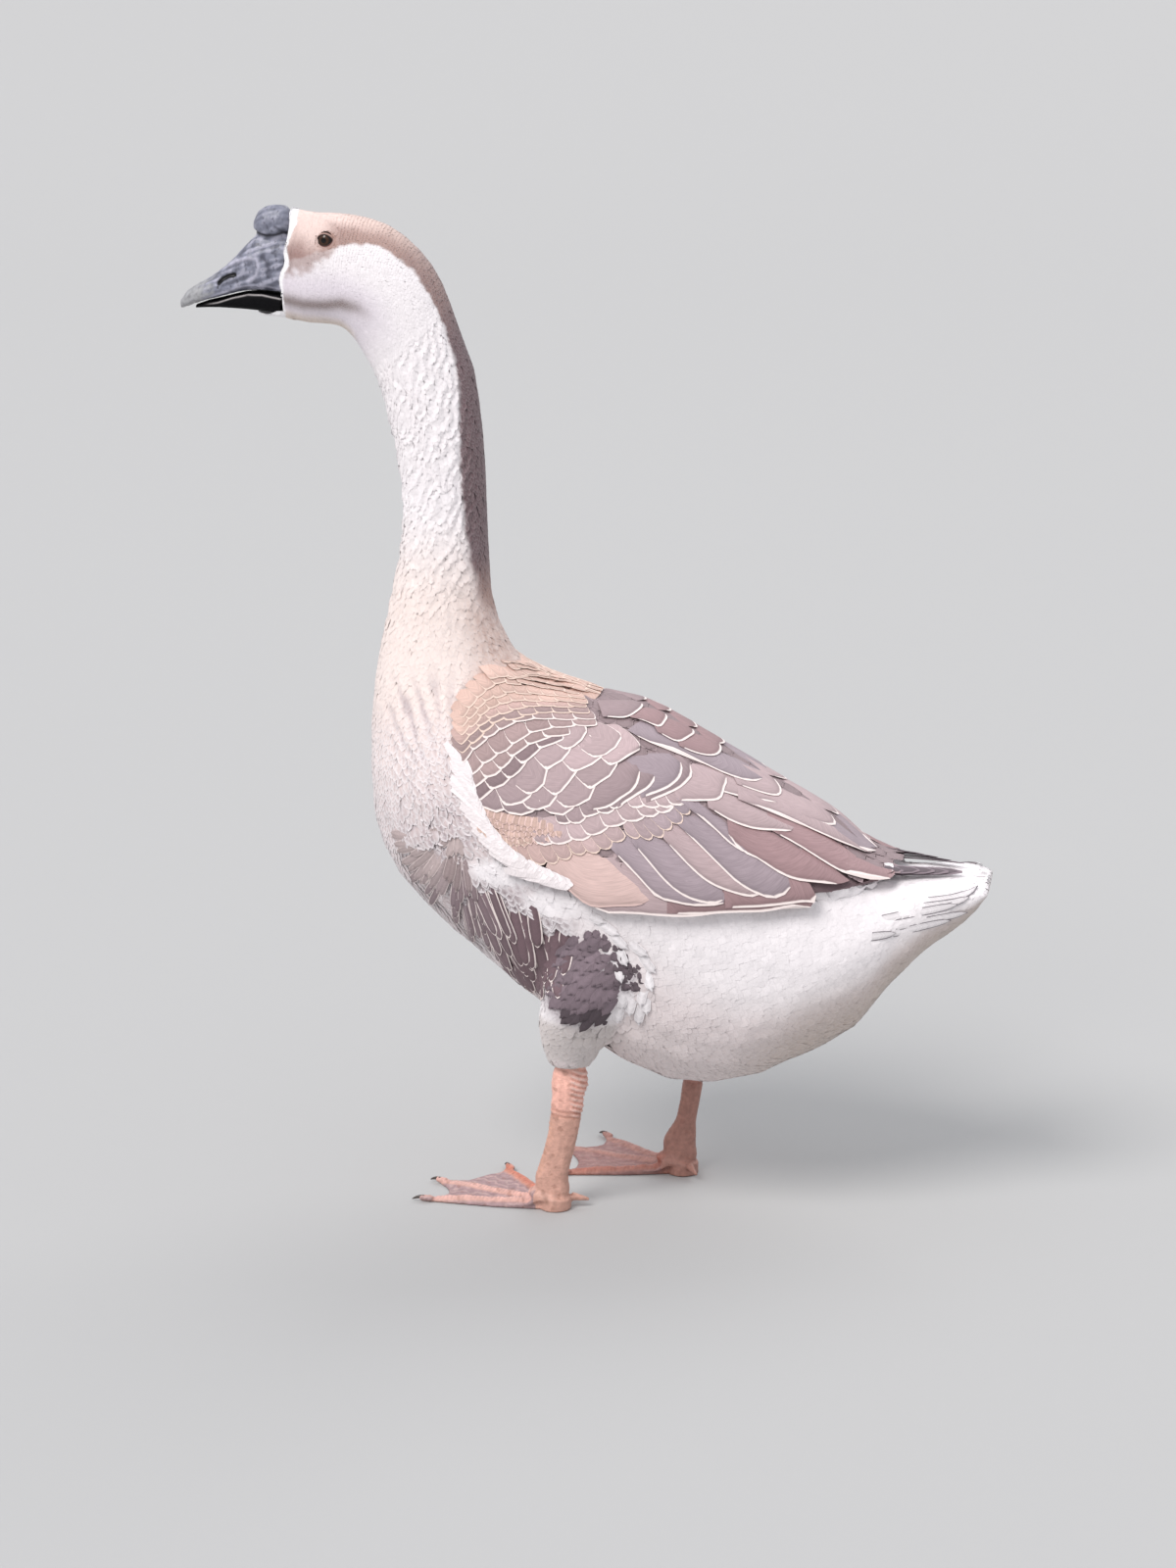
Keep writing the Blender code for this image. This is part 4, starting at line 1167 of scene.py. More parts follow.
BUFF = tone(216, 184, 172)
BUFF_BROWN = tone(206, 175, 168)
SHOULDER_BROWN = tone(174, 150, 149)
TAUPE = tone(163, 143, 146)
TAUPE_GREY = tone(171, 155, 162)
ROSE_BROWN = tone(168, 138, 140)
PALE_TAUPE = tone(190, 168, 170)
DARK_TAUPE = tone(142, 122, 125)
SECONDARY_BUFF = tone(218, 189, 183)
FRINGE_WHITE = tone(243, 234, 235)

# under layer in staggered rows, so nothing bare shows between the large vanes; its darker taupe is painted
# shade beneath them
for number, down in enumerate(range(8, 200, 13)):
    for along in range(-48 + 7 * (number % 2), 262, 14):
        low_edge = np.interp(along, (-16, 21, 48, 95, 156, 194, 262), (184, 205, 199, 177, 135, 104, 46))
        top_edge = np.interp(along, (-70, -20, 0, 40), (84, 44, 34, 4))
        if top_edge < down < low_edge - 8:
            one_short_vane(np.array([along, down], dtype=float), np.array([0.80, 0.60]), 34, 19,
                           TAUPE * 0.85, TAUPE, lift=-1.2, root=-3.4, edge_lift=0.05)

# mantle over the mid back, then the shoulder: buff vanes whose squared tips join into long fine bars.
# Each row gives the vanes' size and colours, how far the pale edge narrows, how deep they root, and the bar.
for width, length, colour, edging, thin, root, line in (
        (14, 18, BUFF, PALE_EDGE, 1.2, -7.0, [(-52, 30), (-36, 12), (-18, 2), (0, -5), (12, -8)]),
        (14, 18, BUFF, PALE_EDGE, 1.2, -7.0, [(-60, 42), (-44, 23), (-24, 11), (-2, 4), (12, 2)]),
        (14, 17, BUFF, PALE_EDGE, 1.2, -7.0, [(-72, 56), (-52, 33), (-26, 21), (-4, 14), (12, 12)]),
        (15, 16, BUFF, PALE_EDGE, 1.1, -7.0, [(-90, 100), (-74, 68), (-56, 43), (-28, 30), (-4, 22)]),
        (15, 14, BUFF, PALE_EDGE, 1.0, DEEP_ROOT, [(-89, 108), (-71, 75), (-53, 52), (-24, 37), (2, 27)]),
        (16, 14, BUFF, PALE_EDGE, 1.0, DEEP_ROOT, [(-89, 115), (-70, 82), (-50, 58), (-21, 42), (5, 32)]),
        (17, 14, BUFF_BROWN, PALE_EDGE, 0.9, DEEP_ROOT,
         [(-90, 122), (-69, 89), (-48, 65), (-18, 48), (5, 38)]),
        (19, 16, SHOULDER_BROWN, PALE_EDGE, 0.8, DEEP_ROOT,
         [(-88, 129), (-71, 101), (-56, 80), (-38, 66), (-18, 55), (8, 44)]),
        (21, 16, SHOULDER_BROWN, WHITE_EDGE, 0.8, DEEP_ROOT,
         [(-87, 136), (-75, 114), (-64, 99), (-54, 84), (-35, 69), (-13, 60), (14, 50)]),
        (23, 18, SHOULDER_BROWN, WHITE_EDGE, 0.7, DEEP_ROOT,
         [(-82, 144), (-63, 117), (-52, 103), (-43, 90), (-32, 79), (-10, 67), (16, 57)]),
        (25, 20, SHOULDER_BROWN, WHITE_EDGE, 0.5, DEEP_ROOT,
         [(-79, 152), (-70, 139), (-58, 125), (-51, 113), (-45, 103), (-27, 84), (-4, 72)]),
        (28, 22, DARK_TAUPE, WHITE_EDGE, 0.4, DEEP_ROOT,
         [(-73, 160), (-65, 147), (-54, 134), (-44, 120), (-35, 106), (-25, 92), (-8, 78)])):
    bar(line, width, length, colour, edging, rounding=0.2, thin=thin, root=root)
# coverts in broad bars
for width, rounding, line in (
        (36, 0.3, [(-73, 164), (-57, 157), (-45, 147), (-30, 134), (-22, 122), (-18, 108), (-8, 95), (2, 80),
                   (11, 61)]),
        (38, 0.3, [(-53, 157), (-33, 149), (-17, 138), (-10, 129), (-4, 116), (4, 104), (15, 93), (26, 82),
                   (38, 59)]),
        (40, 0.35, [(-21, 145), (-5, 141), (6, 132), (16, 121), (22, 108), (28, 101), (36, 88), (42, 78),
                    (55, 65)])):
    bar(line, width, width - 2, TAUPE, second=PALE_TAUPE, rounding=rounding)
# small mottled coverts behind the wing's front edge, and the squared greater coverts
for back in (0, 7, 14, 21):
    bar([(-77 + back, 170), (-66 + back, 167 + back / 2), (-46 + back, 163 + back / 3), (-26 + back, 158)],
        6.5, 13, BUFF, SECONDARY_BUFF * 1.15, lean=0.35, thin=1.0)
bar([(-76, 184), (-60, 183), (-44, 178), (-30, 170)], 7, 14, BUFF, PALE_EDGE, lean=0.2, thin=1.0)
bar([(-10, 150), (7, 144), (18, 136), (34, 129), (45, 118)], 16, 20, TAUPE, rounding=0.4)
bar([(48, 122), (62, 114), (78, 105), (92, 94)], 17, 20, PALE_TAUPE, rounding=0.4)
bar([(-28, 171), (-16, 169), (0, 161), (15, 155), (31, 144), (54, 130), (69, 119), (84, 101)], 22, 26,
    PALE_TAUPE, rounding=0.4)
bar([(-52, 188), (-36, 188), (-17, 185), (8, 171), (28, 162), (47, 146), (58, 143), (71, 135), (86, 115),
     (98, 97)], 13.5, 27, BUFF_BROWN, PALE_EDGE, step=0.92, second=TAUPE_GREY, lean=-0.12, rounding=0.6,
    thin=0.6)
# white fringe that closes the wing's front edge
for lean, length, low in ((1.15, 30, 2), (1.35, 26, 0)):
    bar([(4, 194 + low), (-14, 190 + low), (-32, 187 + low), (-50, 181 + low), (-66, 171), (-77, 157),
         (-82, 143)], 8, length, FRINGE_WHITE, lean=lean, step=0.45, wild=0.06, lift=0.7, root=-1.4, thin=8,
        squared=False)
# scapulars, then the long secondaries and tertials, each over the one below it: root, colour, lift, margin
for root, colour, lift, margin in (
        ((5, 100), TAUPE, 0.5, [(14, 132), (30, 126), (41, 115), (50, 104), (53, 94), (52, 85), (46, 80)]),
        ((25, 95), TAUPE, 0.5, [(38, 124), (52, 109), (63, 94), (65, 87), (59, 80)]),
        ((40, 78), TAUPE_GREY, 0.5, [(56, 109), (67, 99), (78, 86), (85, 69), (84, 60), (74, 55)]),
        ((52, 76), TAUPE, 0.5, [(60, 111), (75, 96), (89, 76), (93, 63), (91, 57), (82, 50)]),
        ((74, 62), PALE_TAUPE, 0.5, [(83, 96), (102, 84), (117, 71), (119, 57), (120, 49), (112, 38)]),
        ((10, 20), TAUPE, 0.5, [(18, 44), (36, 38), (44, 24), (46, 8), (40, 0)]),
        ((26, 26), ROSE_BROWN, 0.5, [(40, 36), (50, 34), (62, 33), (66, 20), (66, 8), (58, 0)]),
        ((50, 18), ROSE_BROWN, 0.5, [(62, 40), (77, 39), (86, 22), (88, 6), (80, -2)]),
        ((72, 16), ROSE_BROWN, 0.5, [(80, 42), (90, 40), (107, 28), (111, 10), (108, 0), (100, -3)]),
        ((50, 30), TAUPE_GREY, 0.2,
         [(39, 52), (55, 56), (78, 48), (94, 46), (110, 44), (122, 41), (140, 30), (146, 12), (142, 0)]),
        ((112, 18), PALE_TAUPE, 0.1,
         [(128, 46), (139, 42), (152, 36), (160, 29), (161, 16), (154, 4), (146, -2)]),
        ((110, 38), PALE_TAUPE, 0.1, [(108, 68), (119, 63), (135, 56), (150, 46), (160, 38), (160, 30)]),
        ((140, 20), PALE_TAUPE, 0.0,
         [(150, 50), (166, 45), (186, 36), (202, 24), (206, 14), (198, 2), (190, -2)]),
        ((178, 14), TAUPE_GREY, 0.0, [(180, 44), (206, 37), (222, 25), (233, 14), (238, 4), (230, -2)]),
        ((-6, 150), SECONDARY_BUFF, 0.2,
         [(-18, 186), (0, 199), (17, 208), (40, 203), (58, 195), (70, 182)]),
        ((30, 150), PALE_TAUPE, -0.5,
         [(14, 205), (30, 211), (48, 206), (75, 195), (95, 184), (126, 161), (140, 148)]),
        ((80, 130), ROSE_BROWN * 0.9, -0.4,
         [(80, 190), (105, 176), (135, 156), (160, 139), (180, 122), (196, 110), (190, 96)]),
        ((120, 112), ROSE_BROWN * 0.95, 0.1,
         [(126, 158), (150, 142), (172, 126), (187, 114), (197, 106), (194, 98), (184, 94)]),
        ((34, 138), TAUPE_GREY, 0.5,
         [(34, 158), (48, 168), (60, 175), (70, 181), (87, 177), (110, 166), (126, 151), (122, 140)]),
        ((48, 126), TAUPE_GREY, 0.5,
         [(51, 148), (67, 159), (80, 166), (90, 168), (107, 165), (124, 152), (122, 140)]),
        ((72, 112), PALE_TAUPE, 0.5,
         [(75, 132), (91, 140), (110, 146), (129, 143), (152, 130), (154, 118)]),
        ((84, 96), TAUPE_GREY, 0.5,
         [(84, 114), (105, 122), (121, 128), (133, 132), (145, 132), (164, 126), (176, 106), (168, 96)]),
        ((86, 80), TAUPE_GREY, 0.5,
         [(83, 94), (101, 97), (115, 101), (127, 105), (140, 104), (146, 94)]),
        ((122, 74), ROSE_BROWN, 0.5,
         [(124, 90), (127, 101), (137, 105), (151, 103), (164, 104), (177, 102), (194, 93), (214, 77),
          (222, 66)]),
        ((102, 62), PALE_TAUPE, 0.7,
         [(108, 86), (126, 86), (141, 82), (160, 71), (174, 60), (176, 50)]),
        ((150, 44), ROSE_BROWN * 1.05, 0.3,
         [(158, 72), (180, 71), (200, 70), (212, 67), (226, 59), (243, 51), (254, 44), (256, 30)]),
        ((128, 40), PALE_TAUPE, 0.7,
         [(130, 62), (148, 56), (167, 50), (184, 48), (206, 40), (222, 27), (234, 16), (236, 4)])):
    fan(root, margin, colour, SECONDARY_BUFF if colour is SECONDARY_BUFF else WHITE_EDGE, lift=lift)
# the mantle's foremost feathers, deep rooted where the neck's last ones end
for forward in (0, 8):
    bar([(-58 - forward, 28), (-46 - forward, 12), (-34 - forward, 2), (-22 - forward, -5)], 13, 20, BUFF,
        PALE_EDGE, rounding=0.3, thin=1.2, lift=0.1, root=-7.0)


def vane_material(name, edge):
    """Flat vanes: painted middles, crisp margins edge mm wide, a dark band just inside them that is partly
    the feathers' own and partly painted shade beside the margins, fine slanting barbs.
    """
    material, add = new_material(name)

    def worked(operation, first, second=0.0):
        return add("Math", first, second, operation=operation)["Value"]

    def times(first, second):
        return worked("MULTIPLY", first, second)

    def ramp(value, low, high, start, end):
        return add("MapRange", interpolation_type="SMOOTHSTEP", Value=value, From_Min=low, From_Max=high,
                   To_Min=start, To_Max=end)["Result"]

    waver = add("TexNoise", Vector=add("TexCoord")["Object"], Scale=150, Detail=2)["Fac"]
    measures = add("SeparateXYZ", Vector=add("Attribute", attribute_name="vane")["Vector"])
    rim = worked("ADD", measures["Z"], times(waver, 0.8))
    pale = ramp(rim, edge * 0.8, edge + 0.7, 1.0, 0.0)
    edge_band_and_shade = ramp(rim, edge + 0.4, edge + 4.0, 0.82, 1.0)
    sideways = worked("ABSOLUTE", measures["Y"])
    slant = worked("ADD", times(sideways, 0.9), measures["X"])
    barbs = worked("SINE", worked("ADD", times(slant, 8.5), waver))
    stretched = add("CombineXYZ", X=times(slant, 0.9), Y=times(sideways, 0.12))["Vector"]
    streak = add("TexNoise", Vector=stretched, Scale=1.0, Detail=3)["Fac"]
    mottle = ramp(streak, 0.2, 0.8, 0.86, 1.12)
    middle = shaded_paint(add, "plumage", times(mottle, edge_band_and_shade))
    edging = add("Attribute", attribute_name="edging")["Color"]
    colour = add("Mix", data_type="RGBA", Factor=pale, A=middle, B=edging)["Result"]
    height = worked("ADD", times(barbs, 0.10), streak)
    bump = add("Bump", Strength=0.35, Distance=0.0004, Height=height)["Normal"]
    add("Surface", Roughness=0.62, Specular_IOR_Level=0.30, Base_Color=colour, Normal=bump)
    return material


WING_VANES = vane_material("wing_vanes", 1.8)


def atlas_cells(order_key, rows, columns):
    """Gives every vane a cell of the map, the cells in the same order as the vanes lie on the bird."""
    across = math.ceil(math.sqrt(len(order_key)))
    size = 1 / across
    grid = np.stack(np.meshgrid(np.linspace(0, 1, columns), np.linspace(0, 1, rows)), axis=-1)
    cells = np.zeros((len(order_key), rows, columns, 2))
    for cell, vane in enumerate(np.argsort(order_key)):
        cells[vane] = (np.array([cell % across, cell // across]) + 0.06 + 0.88 * grid) * size
    return cells


def large_vanes(name, tops, unders, chart, measures, colour, edging, material):
    """Large vanes as one piece, with their paint, their edges' colour and each point's place on its vane."""
    mesh = mesh_of_vanes(name, tops, unders, with_unders(chart))
    measures, colour, edging = (with_unders(np.broadcast_to(part, tops.shape)).reshape(-1, 3)
                                for part in (measures, colour, edging))
    paint_points(mesh, "plumage", np.clip(colour, 0, 1))
    mesh.attributes.new("vane", "FLOAT_VECTOR", "POINT").data.foreach_set(
        "vector", measures.astype(np.float32).ravel())
    paint_points(mesh, "edging", edging)
    mesh.materials.append(material)
    return linked(name, mesh)


def laid_on_wing(name, vanes, side, map_size, map_origin):
    """Lays the vanes kept for the flat wing over one folded wing."""
    flat, rise, measures, colour, edging = (np.array(part) for part in vanes)
    rows, columns = flat.shape[1:3]
    middle = columns // 2
    tops = over_wing(flat[..., 0], flat[..., 1], rise, side)
    unders = over_wing(flat[:, :, middle, 0], flat[:, :, middle, 1], rise[:, :, middle] - 0.32, side)
    if side > 0:
        tops, measures, colour, edging = (part[:, :, ::-1] for part in (tops, measures, colour, edging))
    centres = flat.mean(axis=(1, 2))
    order = np.round(centres[:, 1] / 15) * 1000 + centres[:, 0]
    chart = atlas_cells(order, rows, columns) * map_size + np.array(map_origin)
    return large_vanes(name, tops, unders, chart, measures, colour, edging, WING_VANES)


def joined(name, pieces):
    """Joins pieces into one mesh object."""
    with bpy.context.temp_override(active_object=pieces[0], selected_editable_objects=pieces,
                                   selected_objects=pieces):
        bpy.ops.object.join()
    pieces[0].name = name
    pieces[0].data.name = name
    return pieces[0]


for side, letter in SIDES:
    short = laid_on_wing("coverts_" + letter, short_vanes, side, 0.62, (0.0, 0.0))
    long = laid_on_wing("quills_" + letter, long_vanes, side, 0.37, (0.63, 0.0))
    wing = joined("wing_feathers_" + letter, [short, long])
    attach(wing, "root")


# ------------------------------------------------------------------------------------- the flank feathers
# Long mauve-grey feathers with clean white edges that hang down the side in front of the thigh, narrow
# ones that fan out over the breast from the bend of the wing, and the thigh's dark patches and tufts.

FLANK_VANES = vane_material("flank_vanes", 1.1)


def seen_on_side(flat, side):
    """Where points given as x and z, in mm, meet the skin when looked at from one side."""
    spots = np.zeros((len(flat), 3))
    triangles = np.zeros(len(flat), dtype=int)
    for number, (x, z) in enumerate(flat * MM):
        start = Vector((x, MID_Y + side * 0.4, z))
        spot, _normal, face, _distance = skin_tree.ray_cast(start, Vector((0, -side, 0)))
        if spot is None:
            spot, _normal, face, _distance = skin_tree.find_nearest(Vector((x, MID_Y + side * 0.01, z)))
        spots[number] = spot
        triangles[number] = face
    return spots, directions_at(spots, triangles, skin_hull)


def side_vanes(name, side, roots, tips, width, rise, colours, edging, material, seed, bow=0.0, steep=0.4,
               taper=1.0):
    """Vanes laid on one side of the body from roots to tips, all x and z in millimetres."""
    draw = np.random.default_rng(seed)
    roots, tips = np.array(roots, dtype=float), np.array(tips, dtype=float)
    count = len(roots)
    run = tips - roots
    length = np.linalg.norm(run, axis=1)
    sideways = np.stack([-run[:, 1], run[:, 0]], axis=1) / length[:, None]
    flat = roots[:, None] + run[:, None] * BAR_ROWS[None, :, None]
    flat = flat + sideways[:, None] * (bow * length[:, None] * 4 * BAR_ROWS * (1 - BAR_ROWS))[..., None]
    spots, normals = seen_on_side(flat.reshape(-1, 2), side)
    spots, normals = spots.reshape(count, -1, 3), unit(normals.reshape(count, -1, 3))
    width, rise = np.broadcast_to(width, (count,)), np.broadcast_to(rise, (count,))
    outline = np.where(BAR_ROWS > 0.6, 1 - (1 - BAR_WIDTH) * taper, BAR_WIDTH)
    onward = unit(np.gradient(spots, axis=1))
    across = unit(np.cross(normals, onward))
    half = (width[:, None] / 2 * outline[None])[..., None] * BAR_COLUMNS
    lift = rise[:, None] * (1.2 * BAR_ROWS[None] ** steep - 0.2) + 0.5 * (BAR_ROWS[None] - 1)
    tilt = draw.normal(0, 0.03, (count, 1, 1))
    wide, long = width[:, None, None], length[:, None, None]
    bend = TIP_CURVE * wide * BAR_COLUMNS ** 2 * (BAR_ROWS ** 4)[None, :, None]
    camber = 0.10 * wide / 2 * (1 - BAR_COLUMNS ** 2) + tilt * half
    tops = (spots[:, :, None] + across[:, :, None] * (half * MM)[..., None]
            - onward[:, :, None] * (bend * MM)[..., None]
            + normals[:, :, None] * ((lift[..., None] + camber) * MM)[..., None])
    unders = spots + normals * ((lift - 0.25) * MM)[..., None]
    along = long * BAR_ROWS[None, :, None] - bend
    ending = long - TIP_CURVE * wide * BAR_COLUMNS ** 2 - along
    rim = np.minimum(wide / 2 * outline[None, :, None] * (1 - np.abs(BAR_COLUMNS)), ending)
    shade = np.broadcast_to(colours, (count, 3))[:, None, None] * (1 + draw.normal(0, 0.06, (count, 1, 1, 1)))
    edges = np.broadcast_to(edging, (count, 3))[:, None, None]
    order = np.round(spots[:, 0, 2] / 0.013) * -1000 + spots[:, 0, 0]
    return large_vanes(name, tops, unders, atlas_cells(order, len(BAR_ROWS), len(BAR_COLUMNS)),
                       np.stack([along, half, rim], axis=-1), shade, edges, material)


flank_draw = np.random.default_rng(55)
for side, letter in SIDES:
    roots, tips, widths = [], [], []
    for number, z in enumerate((214, 238, 262, 284, 302)):
        front = np.interp(z, (190, 235, 300, 312), (-60, -70, -84, -86))
        rear = np.interp(z, (196, 225, 262, 288, 300, 312), (-36, -14, 2, -36, -64, -84))
        x = front + 3 * (number % 2)
        while x < rear:
            slant = np.interp(x, (-110, -60, -20), (0.50, 0.30, 0.02)) + flank_draw.normal(0, 0.04)
            reach = np.interp(z, (200, 300), (38, 60)) * flank_draw.uniform(0.85, 1.12)
            high = z + flank_draw.uniform(-7, 7)
            reach = min(reach, high - 188)
            roots.append((x, high))
            tips.append((x + slant * reach, high - reach))
            widths.append(np.interp(x, (-110, -30), (7.5, 12.5)) * flank_draw.uniform(0.9, 1.15))
            x += np.interp(x, (-110, -30), (5.6, 8.8)) * COARSE
    shade = np.array([laid_over(BREAST_GREY_AND_SHADE, FLANK_MAUVE, np.interp(x, (-86, -56), (0.5, 1.0)))
                      for x, _z in roots])
    flank = side_vanes("flank_feathers_" + letter, side, roots, tips, np.array(widths), 3.9, shade,
                       WHITE_EDGE, FLANK_VANES, 56)
    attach(flank, "root")


# narrower feathers that fan out over the breast from the bend of the wing, greyer lower down
FAN_VANES = vane_material("fan_vanes", 0.75)
for side, letter in SIDES:
    roots, tips, widths, greyer = [], [], [], []
    for ring, start in enumerate((4, 16, 30, 44, 58, 72, 86)):
        reach = 40 if ring else 26
        for turn in np.radians(np.arange(20, 105, math.degrees(5.6 * COARSE / (start + reach * 0.6)))):
            turn = turn + flank_draw.normal(0, 0.03)
            near = start + flank_draw.uniform(-6, 6)
            far = near + reach * flank_draw.uniform(0.9, 1.1)
            bent = turn + 0.06 * math.sin(far / 16 + turn * 5)
            roots.append((BEND[0] - math.cos(turn) * near, BEND[1] - math.sin(turn) * near))
            tips.append((BEND[0] - math.cos(bent) * far, BEND[1] - math.sin(bent) * far))
            widths.append(flank_draw.uniform(6.0, 8.0))
            greyer.append(float(smooth_step(0.2, 1.5, turn) * smooth_step(0, 55, near)))
    roots, tips, widths, greyer = (np.array(part) for part in (roots, tips, widths, greyer))
    spots, facing = seen_on_side(tips, side)
    fit = (np.abs(facing[:, 1]) > 0.48) & (tips[:, 1] > 212) & (spots[:, 0] > -0.160)
    lower_grey = laid_over(BREAST_GREY_AND_SHADE, FLANK_MAUVE, greyer * 0.5)
    greyed = laid_over(BREAST_PINK * 0.72, lower_grey, smooth_step(0.0, 0.6, greyer))
    shades = laid_over(plumage_at(spots)[0] * 0.97, greyed, 0.5 + greyer * 0.3)
    edges = laid_over(shades * 1.05, WHITE_EDGE, 0.25 + greyer * 0.75)
    breast_side = side_vanes("breast_fan_" + letter, side, roots[fit], tips[fit], widths[fit], 3.1,
                             shades[fit], edges[fit], FAN_VANES, 58, bow=0.03, taper=1.5)
    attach(breast_side, "root")

# the dark patch outside the thigh, its feathers sweeping forward and down, and a small one behind it
THIGH_PATCH = [(-6, 249), (24, 258), (47, 238), (37, 206), (22, 171), (-2, 167), (-21, 187), (-22, 222)]
BACK_PATCH = [(41, 232), (60, 225), (57, 205), (39, 201)]
THIGH_VANES = vane_material("thigh_vanes", 0.30)
# The right thigh's patch and tufts lie this far behind the left one's, in millimetres.
THIGH_STEP = 58


def inside_outline(x, z, outline):
    """True inside a closed outline seen from the side."""
    inside = False
    for (x1, z1), (x2, z2) in zip(outline, outline[1:] + outline[:1]):
        if (z1 > z) != (z2 > z) and x < x1 + (z - z1) / (z2 - z1) * (x2 - x1):
            inside = not inside
    return inside


for side, letter in SIDES:
    step = THIGH_STEP if side > 0 else 0
    roots, tips, widths, shades = [], [], [], []
    for outline, gap, longest in ((THIGH_PATCH, 11.0, 44), (BACK_PATCH, 8.0, 24)):
        for row, z in enumerate(np.arange(166, 262, gap * COARSE)):
            for x in np.arange(-30 + 0.25 * gap * (row % 2), 70, gap / 2 * COARSE):
                tip = np.array([x, z]) + flank_draw.uniform(-3.2, 3.2, 2)
                if not inside_outline(*tip, outline):
                    continue
                lean = math.radians(np.interp(z, (170, 215, 255), (28, 40, 54)) + flank_draw.normal(0, 4))
                back = np.array([math.sin(lean), math.cos(lean)])
                reach = 7.0
                while reach < longest and inside_outline(*(tip + back * (reach - 3)), outline):
                    reach += 2
                tips.append(tip + (step, 0))
                roots.append(tip + back * reach + (step, 0))
                widths.append(min(9.0, 3 + reach * 0.30) * flank_draw.uniform(0.9, 1.1))
                dark_end = max(float(smooth_step(190, 176, z)), 0.7 * float(smooth_step(22, 36, x)))
                shades.append(THIGH_DARK * flank_draw.uniform(0.88, 1.12) * (1 - 0.55 * dark_end))
    shades = np.array(shades)
    patch = side_vanes("thigh_patch_" + letter, side, roots, tips, np.array(widths), 4.0, shades,
                       shades * 1.25, THIGH_VANES, 57, bow=0.06, steep=0.3, taper=1.6)
    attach(patch, "root")

# white feathers that curl round the two dark patches
TUFTS = [((2, 282), (30, 266)), ((15, 277), (41, 256)), ((27, 269), (48, 244)), ((38, 258), (47, 229)),
         ((45, 245), (41, 214)), ((41, 260), (64, 239)), ((54, 250), (70, 224)), ((63, 238), (67, 208)),
         ((68, 223), (57, 193)), ((48, 215), (41, 190)), ((56, 210), (48, 184)), ((63, 203), (55, 176)),
         ((46, 200), (36, 176)), ((66, 214), (62, 186))]
TUFT_VANES = vane_material("tuft_vanes", 0.6)
for side, letter in SIDES:
    step = THIGH_STEP if side > 0 else 0
    roots = [(x + step, z) for (x, z), _tip in TUFTS]
    tips = [(x + step, z) for _root, (x, z) in TUFTS]
    tufts = side_vanes("thigh_tufts_" + letter, side, roots, tips, 8.0, 4.4, WHITE, WHITE, TUFT_VANES, 59,
                       bow=-0.08, taper=1.6)
    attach(tufts, "root")


# -------------------------------------------------------------------------------------------- the thighs
# Soft fluffy feathers on each thigh, dark outside and grey white lower down, shortening to a velvet
# cuff that hangs over the top of the bare hock.

def thigh_rows(side, lowest, highest, gap_low, gap_high):
    """Staggered roots round one thigh from the cuff upwards."""
    rows = []
    height = lowest
    number = 0
    while height < highest:
        gap = np.interp(height, (lowest, highest), (gap_low, gap_high)) * MM * COARSE
        x, y, fore, wide = thigh_ring(height, side)
        count = int(2 * math.pi * (fore + wide) / 2 / gap)
        for step in range(count):
            turn = 2 * math.pi * (step + 0.5 * (number % 2)) / count
            direction = Vector((math.cos(turn), math.sin(turn), 0))
            spot, _normal, _face, distance = skin_tree.ray_cast(Vector((x, y, height)), direction)
            if spot is not None and distance < max(fore, wide) * 1.15:
                rows.append(spot)
        height += gap
        number += 1
    return np.array(rows)


for side, letter, seed in ((-1, "l", 41), (1, "r", 42)):
    upper = thigh_rows(side, 0.166, 0.238, 4.2, 5.2)
    lower = thigh_rows(side, 0.1335, 0.168, 2.3, 3.4)
    upper = upper[near_thigh(upper, 1.06)]
    roots = np.concatenate([upper, lower])
    height = roots[:, 2]
    coat = small_vanes(
        "thigh_feathers_" + letter, roots, np.interp(height, (0.133, 0.166, 0.175, 0.23), (5.0, 8.0, 15, 19)),
        np.interp(height, (0.133, 0.166, 0.175, 0.23), (2.4, 3.6, 5.5, 6.5)),
        np.interp(height, (0.133, 0.166, 0.180, 0.23), (0.9, 1.5, 3.0, 3.4)), seed,
        unrolled_between(station("keel"), station("paunch rear")), ruffle=0.26)
    coat.data.materials.append(plumage_material("thigh_down_" + letter, 0.85, 0.0012, 0.4, 0.2))
    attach(coat, "root")


# ---------------------------------------------------------------------------------------------- the tail
# Stiff white tail feathers stacked like a closed fan, the dark edges of the lower ones showing at the
# side, with soft long coverts over and under their roots, and the folded wing tips crossed above.

QUILL_ROWS = np.linspace(0, 1, 12)
QUILL_COLUMNS = np.array([-1, -0.7, 0, 0.7, 1])
DARK_GREY = tone(104, 96, 103)
QUILL_GREY = tone(112, 100, 106)


